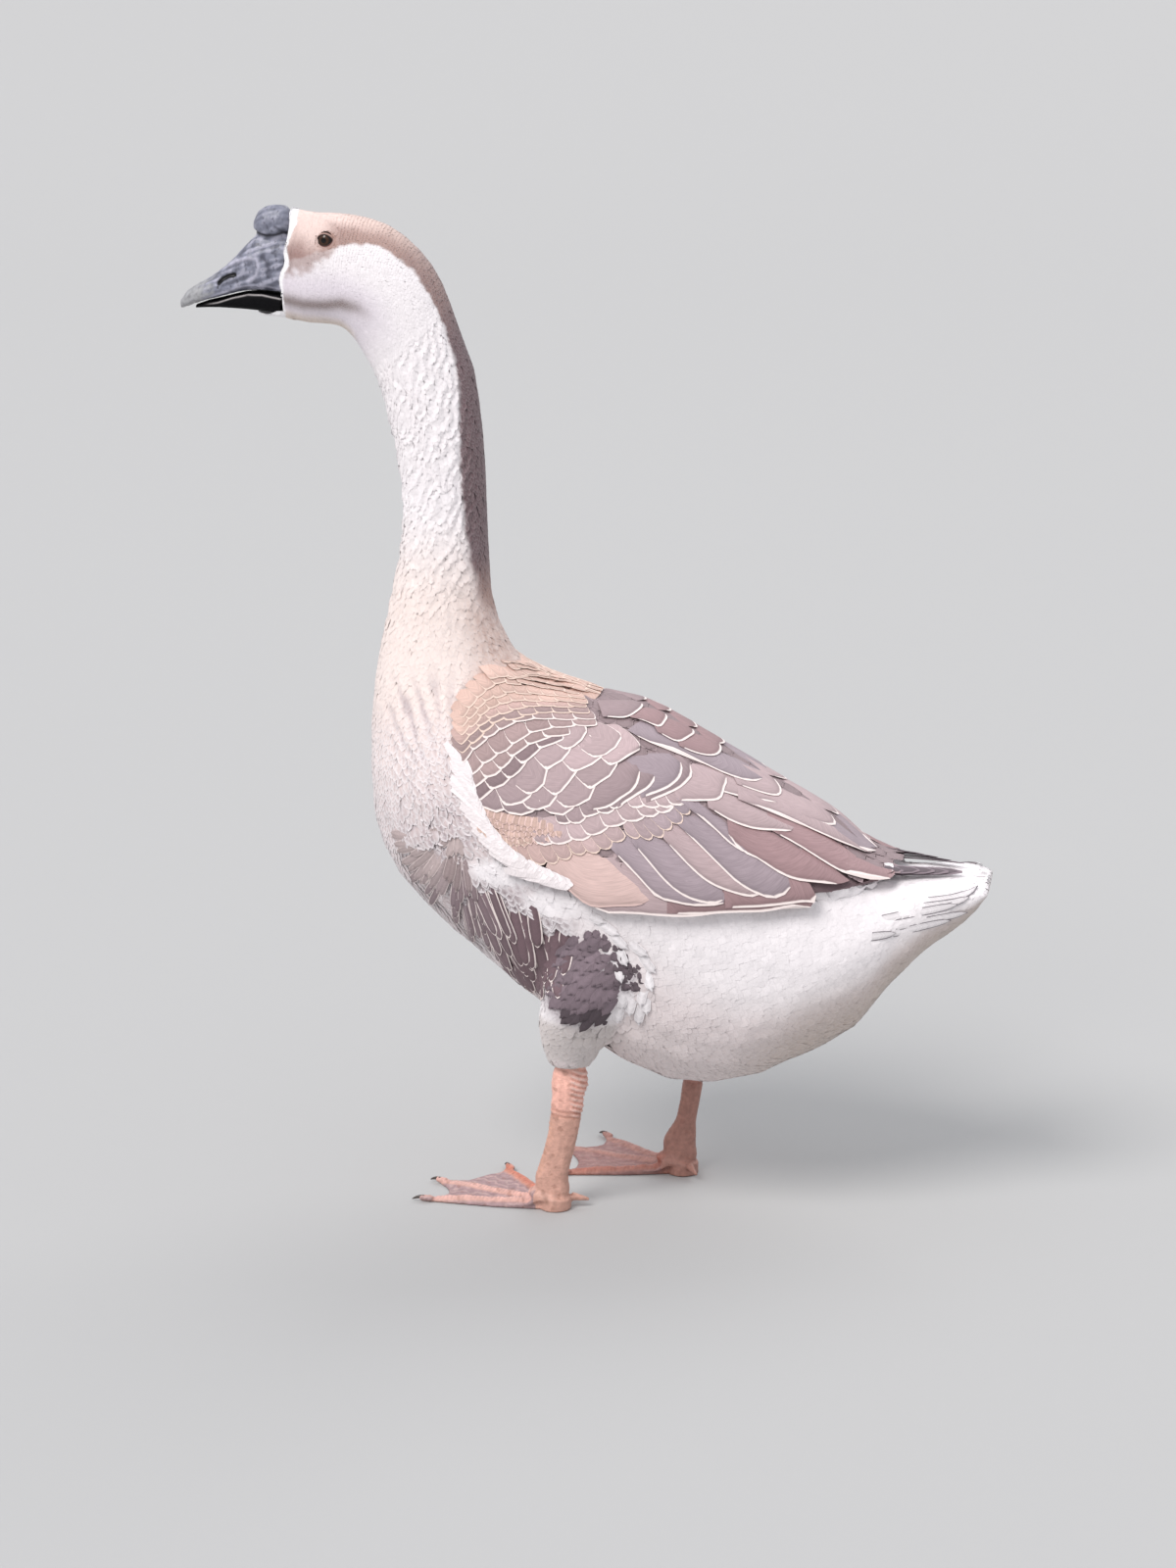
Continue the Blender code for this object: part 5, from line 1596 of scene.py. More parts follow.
def stiff_vanes(name, spines, facing, half_width, colours, edgings, camber):
    """Long stiff vanes along given middle lines. facing is each vane's upward direction."""
    spines = np.array(spines)
    onward = unit(np.gradient(spines, axis=1))
    facing = np.array(facing)[:, None] * np.ones((1, spines.shape[1], 1))
    facing = unit(facing - onward * np.sum(facing * onward, axis=2, keepdims=True))
    across = np.cross(facing, onward)
    outline = np.interp(QUILL_ROWS, (0, 0.15, 0.5, 0.8, 0.93, 1.0), (0.45, 0.75, 1.0, 0.95, 0.72, 0.25))
    half = np.array(half_width)[:, None] * MM * outline[None]
    tops = np.stack([spines + across * (half * column)[..., None]
                     + facing * (camber * half * (1 - abs(column)))[..., None]
                     for column in QUILL_COLUMNS], axis=2)
    unders = spines - facing * 0.0006
    reach = np.linalg.norm(spines[:, -1] - spines[:, 0], axis=1)[:, None] / MM
    along = (reach * QUILL_ROWS[None])[..., None]
    wide = half[..., None] / MM
    rim = np.minimum(wide * (1 - np.abs(QUILL_COLUMNS)), reach[..., None] - along)
    measures = np.stack([along + 0 * rim, wide * QUILL_COLUMNS, rim], axis=-1)
    count, rows, columns = tops.shape[:3]
    chart = np.zeros((count, rows, columns, 2))
    chart[..., 0] = np.linspace(0, 1, rows)[:, None] * 0.96 + 0.02
    chart[..., 1] = (np.linspace(0, 1, columns) * 0.8 + 0.1) * (1 / count)
    chart[..., 1] += (np.arange(count) / count)[:, None, None]
    colours, edgings = (np.array(part)[:, None, None] for part in (colours, edgings))
    return large_vanes(name, tops, unders, chart, measures, colours, edgings, WING_VANES)


def spine_between(root, tip, sag=0.0):
    """A gently bowed line between two points in millimetres, y from the bird's middle."""
    root, tip = np.array(root, dtype=float), np.array(tip, dtype=float)
    line = root + (tip - root) * QUILL_ROWS[:, None]
    line[:, 2] += sag * 4 * QUILL_ROWS * (1 - QUILL_ROWS)
    return line * MM + np.array([0, MID_Y, 0])


TAIL_WHITE = tone(236, 228, 230)
TAIL_PAIRS = 7
spines, facing = [], []
for pair in range(TAIL_PAIRS):
    for side, _letter in SIDES:
        y_tip = side * (3.0 + 5.6 * pair)
        tip = (329 - 0.42 * pair ** 2, y_tip, 284.5 - 0.55 * pair + 0.2 * side)
        root = (246, side * (4 + 5 * pair), 280.5 - 1.7 * pair)
        spines.append(spine_between(root, tip, 1.0))
        facing.append((0, side * (0.12 + 0.09 * pair), 1))
count = len(spines)
tail_quills = stiff_vanes("tail_quills", spines, facing, [9.5] * count, [TAIL_WHITE] * count,
                          [WHITE] * count, 0.12)
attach(tail_quills, "root")

tail_gap = {"rump": 5.0, "tail root": 5.0, "end": 4.6}
tail_roots = rows_of_roots(station("rump") + 0.3, station("fan tip"), lambda at: along_stations(tail_gap, at))
hidden = under_wing_top(tail_roots) | under_wing(tail_roots, -0.002) | over_a_step(tail_roots, 0.012)
tail_roots = tail_roots[~hidden]
at, up = body_place(tail_roots)
tail_coat = small_vanes(
    "tail_coverts", tail_roots, along_stations({"rump": 26, "tail fan": 20, "end": 12}, at),
    along_stations({"rump": 11, "tail fan": 8, "end": 5}, at), along_stations(COAT_DEPTH, at) * 0.9, 62,
    unrolled_between(station("rump"), station("end")), ruffle=0.10)
tail_coat.data.materials.append(plumage_material("tail_coverts", 0.8, 0.0013, 0.35, 0.2))
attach(tail_coat, "root")

TAIL_VANES = vane_material("tail_vanes", 0.75)
TAIL_STREAKS = [((196, 246), (258, 251)), ((216, 243), (302, 262)), ((228, 250), (315, 269)),
                ((210, 256), (308, 275)), ((226, 264), (317, 279)), ((244, 271), (322, 282))]
for side, letter in SIDES:
    roots, tips = zip(*TAIL_STREAKS)
    streaks = side_vanes("tail_side_feathers_" + letter, side, roots, tips, 7.0, 3.4, WHITE, DARK_GREY,
                         TAIL_VANES, 64, bow=-0.02, steep=0.6, taper=1.6)
    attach(streaks, "root")

WING_TIPS = ((309, 13, 291.4), (298, 17, 292.4), (287, 20.5, 293.6), (275, 24, 294.6), (262, 28, 295.2))
for side, letter in SIDES:
    spines, colours = [], []
    for number, (x_tip, y_tip, z_tip) in enumerate(WING_TIPS):
        root = (206, side * (28 + 3 * number), 289 + 1.0 * number)
        spines.append(spine_between(root, (x_tip, side * y_tip, z_tip), 2.0))
        colours.append(QUILL_GREY * (1 - 0.04 * number))
    count = len(spines)
    tips = stiff_vanes("quill_feathers_" + letter, spines, [(0, side * 0.35, 1)] * count, [6.0] * count,
                       colours, [QUILL_GREY * 1.5] * count, 0.14)
    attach(tips, "root")
    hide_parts("quill_tips_" + letter)


# ---------------------------------------------------------------------------------------------- the bill
# A slate horn bill with a rounded knob over its base, long nostrils, a pale nail at the tip and a thin
# pale rim along the gape; the lower half is darker and tucks inside the upper.

GAPE = np.array([(-330, 737), (-320, 740), (-312, 744), (-300, 746), (-288, 750), (-275, 753), (-263, 753),
                 (-246, 750)]) * MM
SLATE = tone(126, 128, 144)
SLATE_DARK_AND_SHADE = tone(58, 58, 72)
SLATE_PALE_AND_HIGHLIGHT = tone(186, 184, 200)
NAIL = tone(160, 160, 162)
NAIL_BLOTCH = tone(120, 118, 122)
NOSTRIL_AND_CREASE_SHADOW = tone(12, 12, 16)
NOSTRIL_PIT_SHADE = tone(38, 42, 54)
LOWER_HORN = tone(13, 12, 15)
GAPE_RIM = tone(186, 180, 180)
FACE_WHITE = tone(250, 246, 248)
# Marks on the horn: a line seen from the side, how wide it is and how far it stands out, all in
# millimetres, and whether it fades towards the top and bottom of the bill.
BILL_MARKS = {
    "crease": ([(-273, 802), (-266, 799.5), (-259, 798), (-252, 799), (-245, 801), (-239, 800)],
               1.5, -0.95, False),
    "fold": ([(-252, 806), (-247, 803), (-242, 800)], 1.1, -0.5, True),
    "nostril": ([(-298.5, 760), (-295, 764), (-290.5, 766), (-285.5, 767)], 1.75, -2.3, True),
    "pit": ([(-294, 763.5), (-287, 766)], 2.6, -0.5, True),
    "sill": ([(-299, 756), (-298, 761.5)], 0.9, -0.7, True),
    "ridge": ([(-296, 772), (-285, 777), (-275, 780), (-267, 780), (-265, 774), (-267, 767), (-273, 762)],
              1.5, 0.55, True),
    "hollow": ([(-262, 781), (-258, 777), (-257, 771)], 1.6, -0.6, True),
    "rim": ([(-318, 744), (-306, 748), (-294, 752.5), (-282, 757), (-270, 759), (-258, 758), (-248, 755)],
            1.0, 0.35, True),
    "nail": ([(-321, 738), (-319.5, 746), (-316, 753), (-313, 761)], 0.9, -0.30, False),
}


def near_line(points, line, width):
    """How strongly a point lies on a given line seen from the side, 1 on it and 0 beyond its width."""
    reach = distance_to_line(points[:, (0, 2)], np.array(line) * MM)
    return np.exp(-(reach / (width * MM)) ** 2)


bill = fused("upper_bill_horn", ("upper_bill", "knob"), 0.0008 * COARSE, 6, swell=0.0003)
points = mesh_points(bill.data)
normals = vertex_normals(bill.data)
on_side = smooth_step(0.15, 0.6, np.abs(normals[:, 1]))
on_knob = smooth_step(0.799, 0.803, points[:, 2])
rough = ripple(points, 0.0052, 71)
streaks = ripple(points * (1.0, 2.0, 3.4), 0.012, 72)
mark = {name: near_line(points, line, width) * (on_side if fades else 1)
        for name, (line, width, _relief, fades) in BILL_MARKS.items()}
relief = sum(BILL_MARKS[name][2] * mark[name] for name in BILL_MARKS)
swelling = (near_line(points, [(-245, 819), (-246, 810)], 6.0) * on_knob * 1.9
            + near_line(points, [(-268, 806), (-262, 812)], 4.0) * on_knob * 0.8)
relief = relief + 0.14 * rough * (1 - on_knob) + 0.20 * rough * on_knob + 0.12 * streaks + swelling
set_points(bill.data, points + normals * (relief * MM)[:, None])
nail = smooth_step(-0.300, -0.319, points[:, 0] + 0.005 * streaks + 0.003 * rough)
opening = np.maximum(smooth_step(0.2, 0.5, mark["nostril"]), smooth_step(0.3, 0.8, mark["sill"]) * 0.85)
# the face's white feathers end on the horn in a wavy line
past_edge = points[:, 0] - table_at(FACE_EDGE, points[:, 2])[0]
colour = np.tile(SLATE, (len(points), 1))
for shade, share in (
        (SLATE_PALE_AND_HIGHLIGHT, smooth_step(0.1, 0.7, streaks) * 0.55 * (1 - 0.6 * on_knob)),
        (SLATE_DARK_AND_SHADE, smooth_step(0.15, 0.7, -streaks) * 0.55 * (1 - 0.5 * on_knob)),
        (SLATE_DARK_AND_SHADE, smooth_step(0.75, 1.0, ripple(points, 0.004, 73)) * 0.6),
        # painted highlight on the raised ridge, and the rim's own pale edge
        (SLATE_PALE_AND_HIGHLIGHT, mark["ridge"] * 0.75 + mark["rim"] * 0.4),
        # painted shade in the crease under the knob, in its fold and in the hollow, then a near-black painted
        # shadow line along the crease
        (SLATE_DARK_AND_SHADE, np.clip(mark["crease"] + mark["fold"] * 0.7 + mark["hollow"] * 0.7, 0, 1)),
        (NOSTRIL_AND_CREASE_SHADOW, near_line(points, BILL_MARKS["crease"][0], 0.8) * on_side * 0.65),
        (NAIL, nail * 0.92),
        (NAIL_BLOTCH, nail * smooth_step(0.2, 0.9, rough) * 0.5),
        # painted shade in the pit round the nostril, then the nostril's opening painted near-black as shade
        (NOSTRIL_PIT_SHADE, mark["pit"] * 0.7),
        (NOSTRIL_AND_CREASE_SHADOW, opening),
        (FACE_WHITE, smooth_step(-0.0003, 0.0003, past_edge))):
    colour = laid_over(colour, shade, share)
paint_points(bill.data, "plumage", colour)
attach(bill, "root")
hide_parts("upper_bill", "knob")


def horn_material(name, roughness, pore_size, pore_depth, shine, gloss=0.5):
    """Dense horn or bare skin: the painted colour with fine pores and a soft shine."""
    material, add = new_material(name)
    place_in = add("TexCoord")["Object"]
    pores = add("TexVoronoi", Vector=place_in, Scale=1 / pore_size)["Distance"]
    cloud = add("TexNoise", Vector=place_in, Scale=0.35 / pore_size, Detail=4)["Fac"]
    mottle = add("MapRange", Value=cloud, From_Min=0.3, From_Max=0.7, To_Min=0.82, To_Max=1.14)["Result"]
    bump = add("Bump", Strength=pore_depth, Distance=0.0005, Height=pores)["Normal"]
    add("Surface", Roughness=roughness, Specular_IOR_Level=gloss, Coat_Weight=shine, Coat_Roughness=0.3,
        Base_Color=shaded_paint(add, "plumage", mottle), Normal=bump)
    return material


bill.data.materials.append(horn_material("bill_horn", 0.46, 0.0011, 0.22, 0.12))

lower_bill = fused("lower_bill_horn", ("lower_bill",), 0.0007 * COARSE, 5, swell=0.0001)
points = mesh_points(lower_bill.data)
normals = vertex_normals(lower_bill.data)
under_gape = points[:, 2] - np.interp(points[:, 0], GAPE[:, 0], GAPE[:, 1])
rim_line = np.exp(-((under_gape + 0.0026) / 0.0005) ** 2) * smooth_step(-0.312, -0.298, points[:, 0])
grooves = np.sin(points[:, 0] * 2 * math.pi / 0.0021) * np.exp(-((under_gape + 0.0018) / 0.001) ** 2)
set_points(lower_bill.data, points + normals * ((0.35 * rim_line + 0.12 * grooves) * MM)[:, None])
colour = laid_over(np.tile(LOWER_HORN, (len(points), 1)), GAPE_RIM, rim_line * 0.9)
paint_points(lower_bill.data, "plumage", colour)
lower_bill.data.materials.append(horn_material("lower_bill_horn", 0.75, 0.001, 0.12, 0.0, gloss=0.12))
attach(lower_bill, "root")
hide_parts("lower_bill")

# a wedge of white feathers runs forward under the lower bill, and a band of them hides the bill's root
CHIN_WEDGE = (Vector((-0.2465, MID_Y, 0.7358)), (0.0225, 0.0088, 0.0042))
WEDGE_FRONT, WEDGE_REACH = -0.2688, 0.0270
WEDGE_ROWS, WEDGE_COLUMNS = 24, 25
BAND_LOW, BAND_TOP = 0.7355, 0.8215
BAND_ROWS, BAND_GAP = 6, 0.0011
face_form = fused("face_form", ("head", "upper_bill", "knob", "lower_bill"), 0.0012 * COARSE, 5,
                  fillings=[CHIN_WEDGE])
face_hull = hull_of(face_form.data)
bpy.data.objects.remove(face_form)
wedge = []
for share in np.arange(WEDGE_ROWS) / (WEDGE_ROWS - 1):
    for turn in np.linspace(-1, 1, WEDGE_COLUMNS):
        wide = 0.002 + 0.011 * share
        start = Vector((WEDGE_FRONT + WEDGE_REACH * share, MID_Y + turn * wide, 0.700))
        spot = face_hull[0].ray_cast(start, Vector((0, 0, 1)))[0]
        if spot is not None and spot.z < 0.7362 + 0.0025 * share:
            wedge.append(spot)
wedge = np.array(wedge)
band = []
for z in np.arange(BAND_LOW, BAND_TOP, 0.0012 * COARSE):
    for row in range(BAND_ROWS):
        x = table_at(FACE_EDGE, z)[0] + 0.0003 + BAND_GAP * row
        for side, _letter in SIDES:
            spot = face_hull[0].ray_cast(Vector((x, MID_Y + side * 0.06, z)), Vector((0, -side, 0)))[0]
            if spot is not None:
                band.append(spot)
band = np.array(band)
face_edge = np.concatenate([wedge, band])
edge_length = np.concatenate([np.full(len(wedge), 4.4), np.full(len(band), 3.4)])
behind = table_at(FACE_EDGE, face_edge[:, 2])[0] + 0.0026
edge_rise = 0.45 - 0.55 * smooth_step(0.0, 0.0032, face_edge[:, 0] - behind)
chin = small_vanes("chin_feathers", face_edge, edge_length, edge_length * 0.62, edge_rise,
                   83, unrolled_between(-1, 3), ruffle=0.06, hull=face_hull)
chin.data.materials.append(plumage_material("chin_feathers", 0.8, 0.0009, 0.25, 0.15))
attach(chin, "root")


# ---------------------------------------------------------------------------------------------- the eyes
# Dark brown eyes set a little into the head, a clear bulging cornea over iris and pupil, held by an
# almond of wrinkled lids with a dark margin.

EYE_RADIUS = 0.0084
EYE_SINK = 0.0027
CORNEA_RADIUS, CORNEA_BULGE = 0.0058, 0.0005
EYE_OUT = {side: Vector((-0.16, 0.97 * side, 0.06)).normalized() for side, _letter in SIDES}
LID_INNER, LID_OUTER = (5.5, 4.2), (9.6, 8.2)
LID_RIM, LID_RED, LID_SKIN = tone(48, 32, 30), tone(150, 92, 80), tone(174, 140, 130)
# Rings of colour from the pupil out, by how far they lie from the eye's axis in centimetres.
CENTIMETRES = 100.0
EYE_RINGS = ((0.20, (0.002, 0.002, 0.002, 1)), (0.25, (0.035, 0.014, 0.007, 1)),
             (0.36, (0.055, 0.022, 0.010, 1)), (0.47, (0.018, 0.008, 0.005, 1)),
             (0.53, (0.006, 0.004, 0.003, 1)), (0.66, (0.030, 0.014, 0.011, 1)))


def eye_material(centre, out):
    """A wet eye: a black pupil in a brown iris with a dark outer ring."""
    material, add = new_material("eye")
    place_in = add("TexCoord")["Object"]
    offset = add("VectorMath", place_in, centre, operation="SUBTRACT")["Vector"]
    crossed = add("VectorMath", offset, out, operation="CROSS_PRODUCT")["Vector"]
    reach = add("VectorMath", crossed, operation="LENGTH")["Value"]
    rays = add("TexNoise", Vector=place_in, Scale=900, Detail=3)["Fac"]
    waver = add("Math", rays, 0.0005, reach, operation="MULTIPLY_ADD")["Value"]
    ring = add("ValToRGB", Fac=add("Math", waver, CENTIMETRES, operation="MULTIPLY")["Value"])["Color"]
    stops = ring.node.color_ramp.elements
    for number, (position, shade) in enumerate(EYE_RINGS):
        stop = stops[number] if number < 2 else stops.new(position)
        stop.position = position
        stop.color = shade
    add("Surface", Roughness=0.12, Specular_IOR_Level=0.35, Base_Color=ring)
    return material


def span_rings(form, pairs):
    """Fills the strips between rings of points, each ring joined to its partner."""
    for first, second in pairs:
        for step in range(len(first)):
            after = (step + 1) % len(first)
            form.faces.new((first[step], first[after], second[after], second[step]))


def lids_round(name, centre, out):
    """The almond of lids: a dark moist margin on the eyeball, then wrinkled skin out under the feathers."""
    right = Vector((0, 0, 1)).cross(out).normalized()
    if right.x > 0:
        right = -right
    up = out.cross(right)
    if up.z < 0:
        up = -up
    around, bands = 80, 15
    lid = bmesh.new()
    rings, shades = [], []
    for band in range(bands):
        share = band / (bands - 1)
        wide = LID_INNER[0] + (LID_OUTER[0] - LID_INNER[0]) * share
        tall = LID_INNER[1] + (LID_OUTER[1] - LID_INNER[1]) * share
        ring = []
        for step in range(around):
            turn = 2 * math.pi * step / around
            corner = abs(math.cos(turn)) ** 3
            x = wide * math.cos(turn) * (1.0 + 0.10 * corner * (1 - share))
            y = tall * math.sin(turn) * (1.0 - 0.12 * corner)
            flat = Vector(centre) + right * x * MM + up * y * MM
            reach = math.hypot(x, y)
            on_ball = math.sqrt(max((EYE_RADIUS / MM) ** 2 - reach ** 2, 20.0)) - EYE_SINK / MM
            spot = skin_tree.ray_cast(flat + out * 0.03, -out)[0]
            on_head = (spot - flat).dot(out) / MM + 0.35 if spot is not None else on_ball
            merge = float(smooth_step(0.30, 0.75, share))
            wrinkle = 0.10 * math.sin(share * 21 + 0.8 * math.sin(turn * 2))
            wrinkle += 0.05 * math.sin(turn * 26 + 3 * share)
            roll = 0.55 * math.exp(-((share - 0.20) / 0.16) ** 2)
            height = on_ball * (1 - merge) + on_head * merge + 0.12 + roll
            height += wrinkle * smooth_step(0.2, 0.4, share)
            height -= 0.9 * smooth_step(0.85, 1.0, share)
            ring.append(lid.verts.new(flat + out * float(height) * MM))
            rim = 1 - smooth_step(0.14, 0.30, share)
            red = smooth_step(0.2, -0.5, math.sin(turn)) * math.exp(-((share - 0.26) / 0.12) ** 2)
            shade = LID_SKIN * (1 - rim) + LID_RIM * rim
            shade = shade * (1 - 0.8 * red) + LID_RED * 0.8 * red
            # painted shade in the lid's fold: a darker ring, strongest over the top of the eye
            fold = math.exp(-((share - 0.52) / 0.06) ** 2) * (0.4 + 0.4 * math.sin(turn))
            shades.append(shade * (1 - 0.35 * fold))
        rings.append(ring)
    for ring, drop in ((rings[-1], 2.0), (rings[0], 1.2)):
        under = []
        for vertex in ring:
            under.append(lid.verts.new(vertex.co - out * drop * MM))
            shades.append(LID_RIM if drop < 2 else LID_SKIN)
        rings.append(under)
    rings.insert(0, rings.pop())
    span_rings(lid, zip(rings, rings[1:] + rings[:1]))
    bmesh.ops.recalc_face_normals(lid, faces=lid.faces)
    mesh = mesh_from(lid, name)
    paint_points(mesh, "plumage", np.array(shades))
    mesh.materials.append(horn_material(name, 0.6, 0.0006, 0.25, 0.0))
    return linked(name, mesh)


for side, letter in SIDES:
    centre, out = EYE_CENTRE[side], EYE_OUT[side]
    ball = bmesh.new()
    bmesh.ops.create_uvsphere(ball, u_segments=56, v_segments=40, radius=EYE_RADIUS)
    turn = Vector((0, 0, 1)).rotation_difference(out)
    for vertex in ball.verts:
        reach = math.hypot(vertex.co.x, vertex.co.y)
        if vertex.co.z > 0 and reach < CORNEA_RADIUS:
            vertex.co.z += CORNEA_BULGE * (1 - (reach / CORNEA_RADIUS) ** 2)
        vertex.co = turn @ vertex.co + centre - out * EYE_SINK
    mesh = mesh_from(ball, "eyeball_" + letter)
    mesh.materials.append(eye_material(centre, out))
    eyeball = linked("eyeball_" + letter, mesh)
    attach(eyeball, "root")
    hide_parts("eye_" + letter)
    lids = lids_round("eyelids_" + letter, centre, out)
    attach(lids, "root")


# --------------------------------------------------------------------------------- the legs and feet
# Bare salmon legs: slanting raised scutes behind the hock, fine net-like scales down the shank, ringed toes
# and mauve webs with soft folds, each toe ending in a small dark claw. Part of the paint is painted shade in
# the grooves, folds and webs and over the whole far leg, and painted highlight on raised scutes, plates and
# web folds.

SALMON = tone(246, 188, 172)
SALMON_PALE_AND_HIGHLIGHT = tone(240, 206, 196)
SHANK_BROWN = tone(203, 157, 141)
TOE_PINK = tone(222, 176, 167)
TOE_RED = tone(208, 126, 104)
WEB_MAUVE_AND_SHADE = tone(156, 130, 134)
FAR_LEG_SHADE = tone(136, 88, 80)
SCUTE_GAP_RED_AND_SHADE, FOLD_RED_AND_SHADE = tone(176, 96, 78), tone(150, 92, 74)
PLATE_PALE_AND_HIGHLIGHT, BLOTCH_BROWN = tone(226, 168, 138), tone(130, 84, 66)
ANKLE = {-1: (-20, -52), 1: (74, 50)}
HEADING = {-1: math.radians(24), 1: math.radians(-22)}
TOE_TURNS = {"inner": math.radians(-33), "middle": 0.0, "outer": math.radians(22)}
SHANK_LEAN = 0.012
SHANK_BROADER = {-1: 1.2, 1: 0.80}
# Swellings round the ankle, from the spot under it, and their radii.
ANKLE_SWELLS = (((0, 0, 0.017), (0.0122, 0.0094, 0.0150)), ((-0.007, 0, 0.010), (0.0120, 0.0088, 0.0092)))
# Balls that make each toe's end pad: how far behind the claw's middle, and how wide.
TOE_PADS = ((0.0125, 0.0036), (0.0095, 0.0034), (0.0065, 0.0030))
PAD_HEIGHT, PAD_TALL = 0.0030, 0.0026
# The front of each ankle spreads forward into the foot by this much.
FOOT_FLARE = 0.0050
# The leg's upper end is drawn up inside the feathers of the thigh.
LEG_TOP, DRAWN_UP = 0.1255, 0.007


def ankle_on_floor(side):
    """The spot on the floor under one ankle."""
    return Vector((ANKLE[side][0] * MM, ANKLE[side][1] * MM + MID_Y, 0))


def claw_place(side, toe, letter):
    """The middle of a claw on the floor, and the way its toe points."""
    low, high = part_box("claw_" + toe + "_" + letter)
    spot = Vector(((low.x + high.x) / 2, (low.y + high.y) / 2, 0))
    return spot, (spot - ankle_on_floor(side)).normalized()


def leg_colour_and_relief(points, normals, side):
    """Paint and relief in millimetres for a leg's skin."""
    count = len(points)
    z = points[:, 2] / MM
    back = points[:, 0] / MM - (0 if side < 0 else STEP_BACK / MM)
    fine = ripple(points, 0.0024, 91)
    broad = ripple(points, 0.012, 92)
    relief = 0.10 * fine
    hock = smooth_step(76, 92, z)
    behind = smooth_step(-8, -3, back) * smooth_step(78, 84, z) * smooth_step(126, 120, z)
    scute = np.sin((z + 0.45 * back) * 2 * math.pi / 5.0)
    relief = relief + behind * 0.55 * scute
    ankle_fold = np.exp(-((z - 84 + 0.15 * back) / 1.3) ** 2) + np.exp(-((z - 80.5 + 0.1 * back) / 1.0) ** 2)
    relief = relief - 0.5 * ankle_fold
    front = smooth_step(0.2, 0.8, -normals[:, 0]) * smooth_step(24, 34, z) * smooth_step(80, 74, z)
    plates = np.abs(np.sin(z * math.pi / 3.6))
    relief = relief + front * 0.32 * plates
    colour = np.tile(SHANK_BROWN, (count, 1))
    # paler on the raised scutes and front plates and darker in the gaps between scutes and in the ankle
    # folds: partly the skin's own tones and partly painted highlight and painted shade
    for shade, share in ((SALMON, hock * 0.9),
                         (SALMON_PALE_AND_HIGHLIGHT, behind * smooth_step(0.0, 0.7, scute) * 0.8),
                         (SCUTE_GAP_RED_AND_SHADE, behind * smooth_step(-0.3, -0.9, scute) * 0.5),
                         (FOLD_RED_AND_SHADE, ankle_fold * 0.5),
                         (PLATE_PALE_AND_HIGHLIGHT, front * plates * 0.35)):
        colour = laid_over(colour, shade, share)
    # foot: toes ringed with scales, webs folded between them
    heel = np.array([ANKLE[side][0], ANKLE[side][1] + MID_Y / MM]) * MM
    forward = np.array([-math.cos(HEADING[side]), -side * math.sin(HEADING[side])])
    outward = np.array([forward[1] * side, -forward[0] * side]) * -1
    if outward[1] * side < 0:
        outward = -outward
    flat = points[:, :2] - heel
    along, across = flat @ forward, flat @ outward
    on_foot = smooth_step(22, 12, z)
    toe_near = np.zeros(count)
    for name, turn in TOE_TURNS.items():
        line = along * math.cos(turn) + across * math.sin(turn)
        off = across * math.cos(turn) - along * math.sin(turn)
        near = np.exp(-(off / 0.0048) ** 2) * (line > 0.008)
        ringed = np.sin(line * 2 * math.pi / 0.0034 + 0.6 * np.cos(off / 0.0016))
        relief = relief + on_foot * near * 0.22 * ringed * (normals[:, 2] > 0.1)
        shade = TOE_RED if name == "inner" else TOE_PINK
        colour = laid_over(colour, shade, on_foot * near * 0.9)
        # painted shade: a darker copy of the toe's colour in the grooves between its rings
        colour = laid_over(colour, shade * 0.72, on_foot * near * smooth_step(-0.4, -0.95, ringed) * 0.8)
        toe_near = np.maximum(toe_near, near)
    web = on_foot * (1 - smooth_step(0.1, 0.5, toe_near)) * (along > 0.012)
    folds = np.sin(np.arctan2(across, np.maximum(along, 0.001)) * 46 + 2 * broad)
    # the webs' mauve is partly their own colour and partly painted shade, and they are paler on the crests of
    # their folds, partly painted highlight
    colour = laid_over(colour, WEB_MAUVE_AND_SHADE, web * 0.9)
    colour = laid_over(colour, SALMON_PALE_AND_HIGHLIGHT, web * smooth_step(0.3, 1.0, folds) * 0.25)
    relief = relief + web * 0.22 * folds * (normals[:, 2] > 0.1)
    colour = colour * (1 + 0.06 * broad)[:, None]
    colour = laid_over(colour, BLOTCH_BROWN, smooth_step(0.80, 1.0, ripple(points, 0.009, 93)) * 0.35)
    # painted shade: the far leg is laid over with a darker red all over
    if side > 0:
        colour = laid_over(colour, FAR_LEG_SHADE, np.full(count, 0.60))
    return colour, relief * smooth_step(0.0, 1.2, z)
    return colour, relief


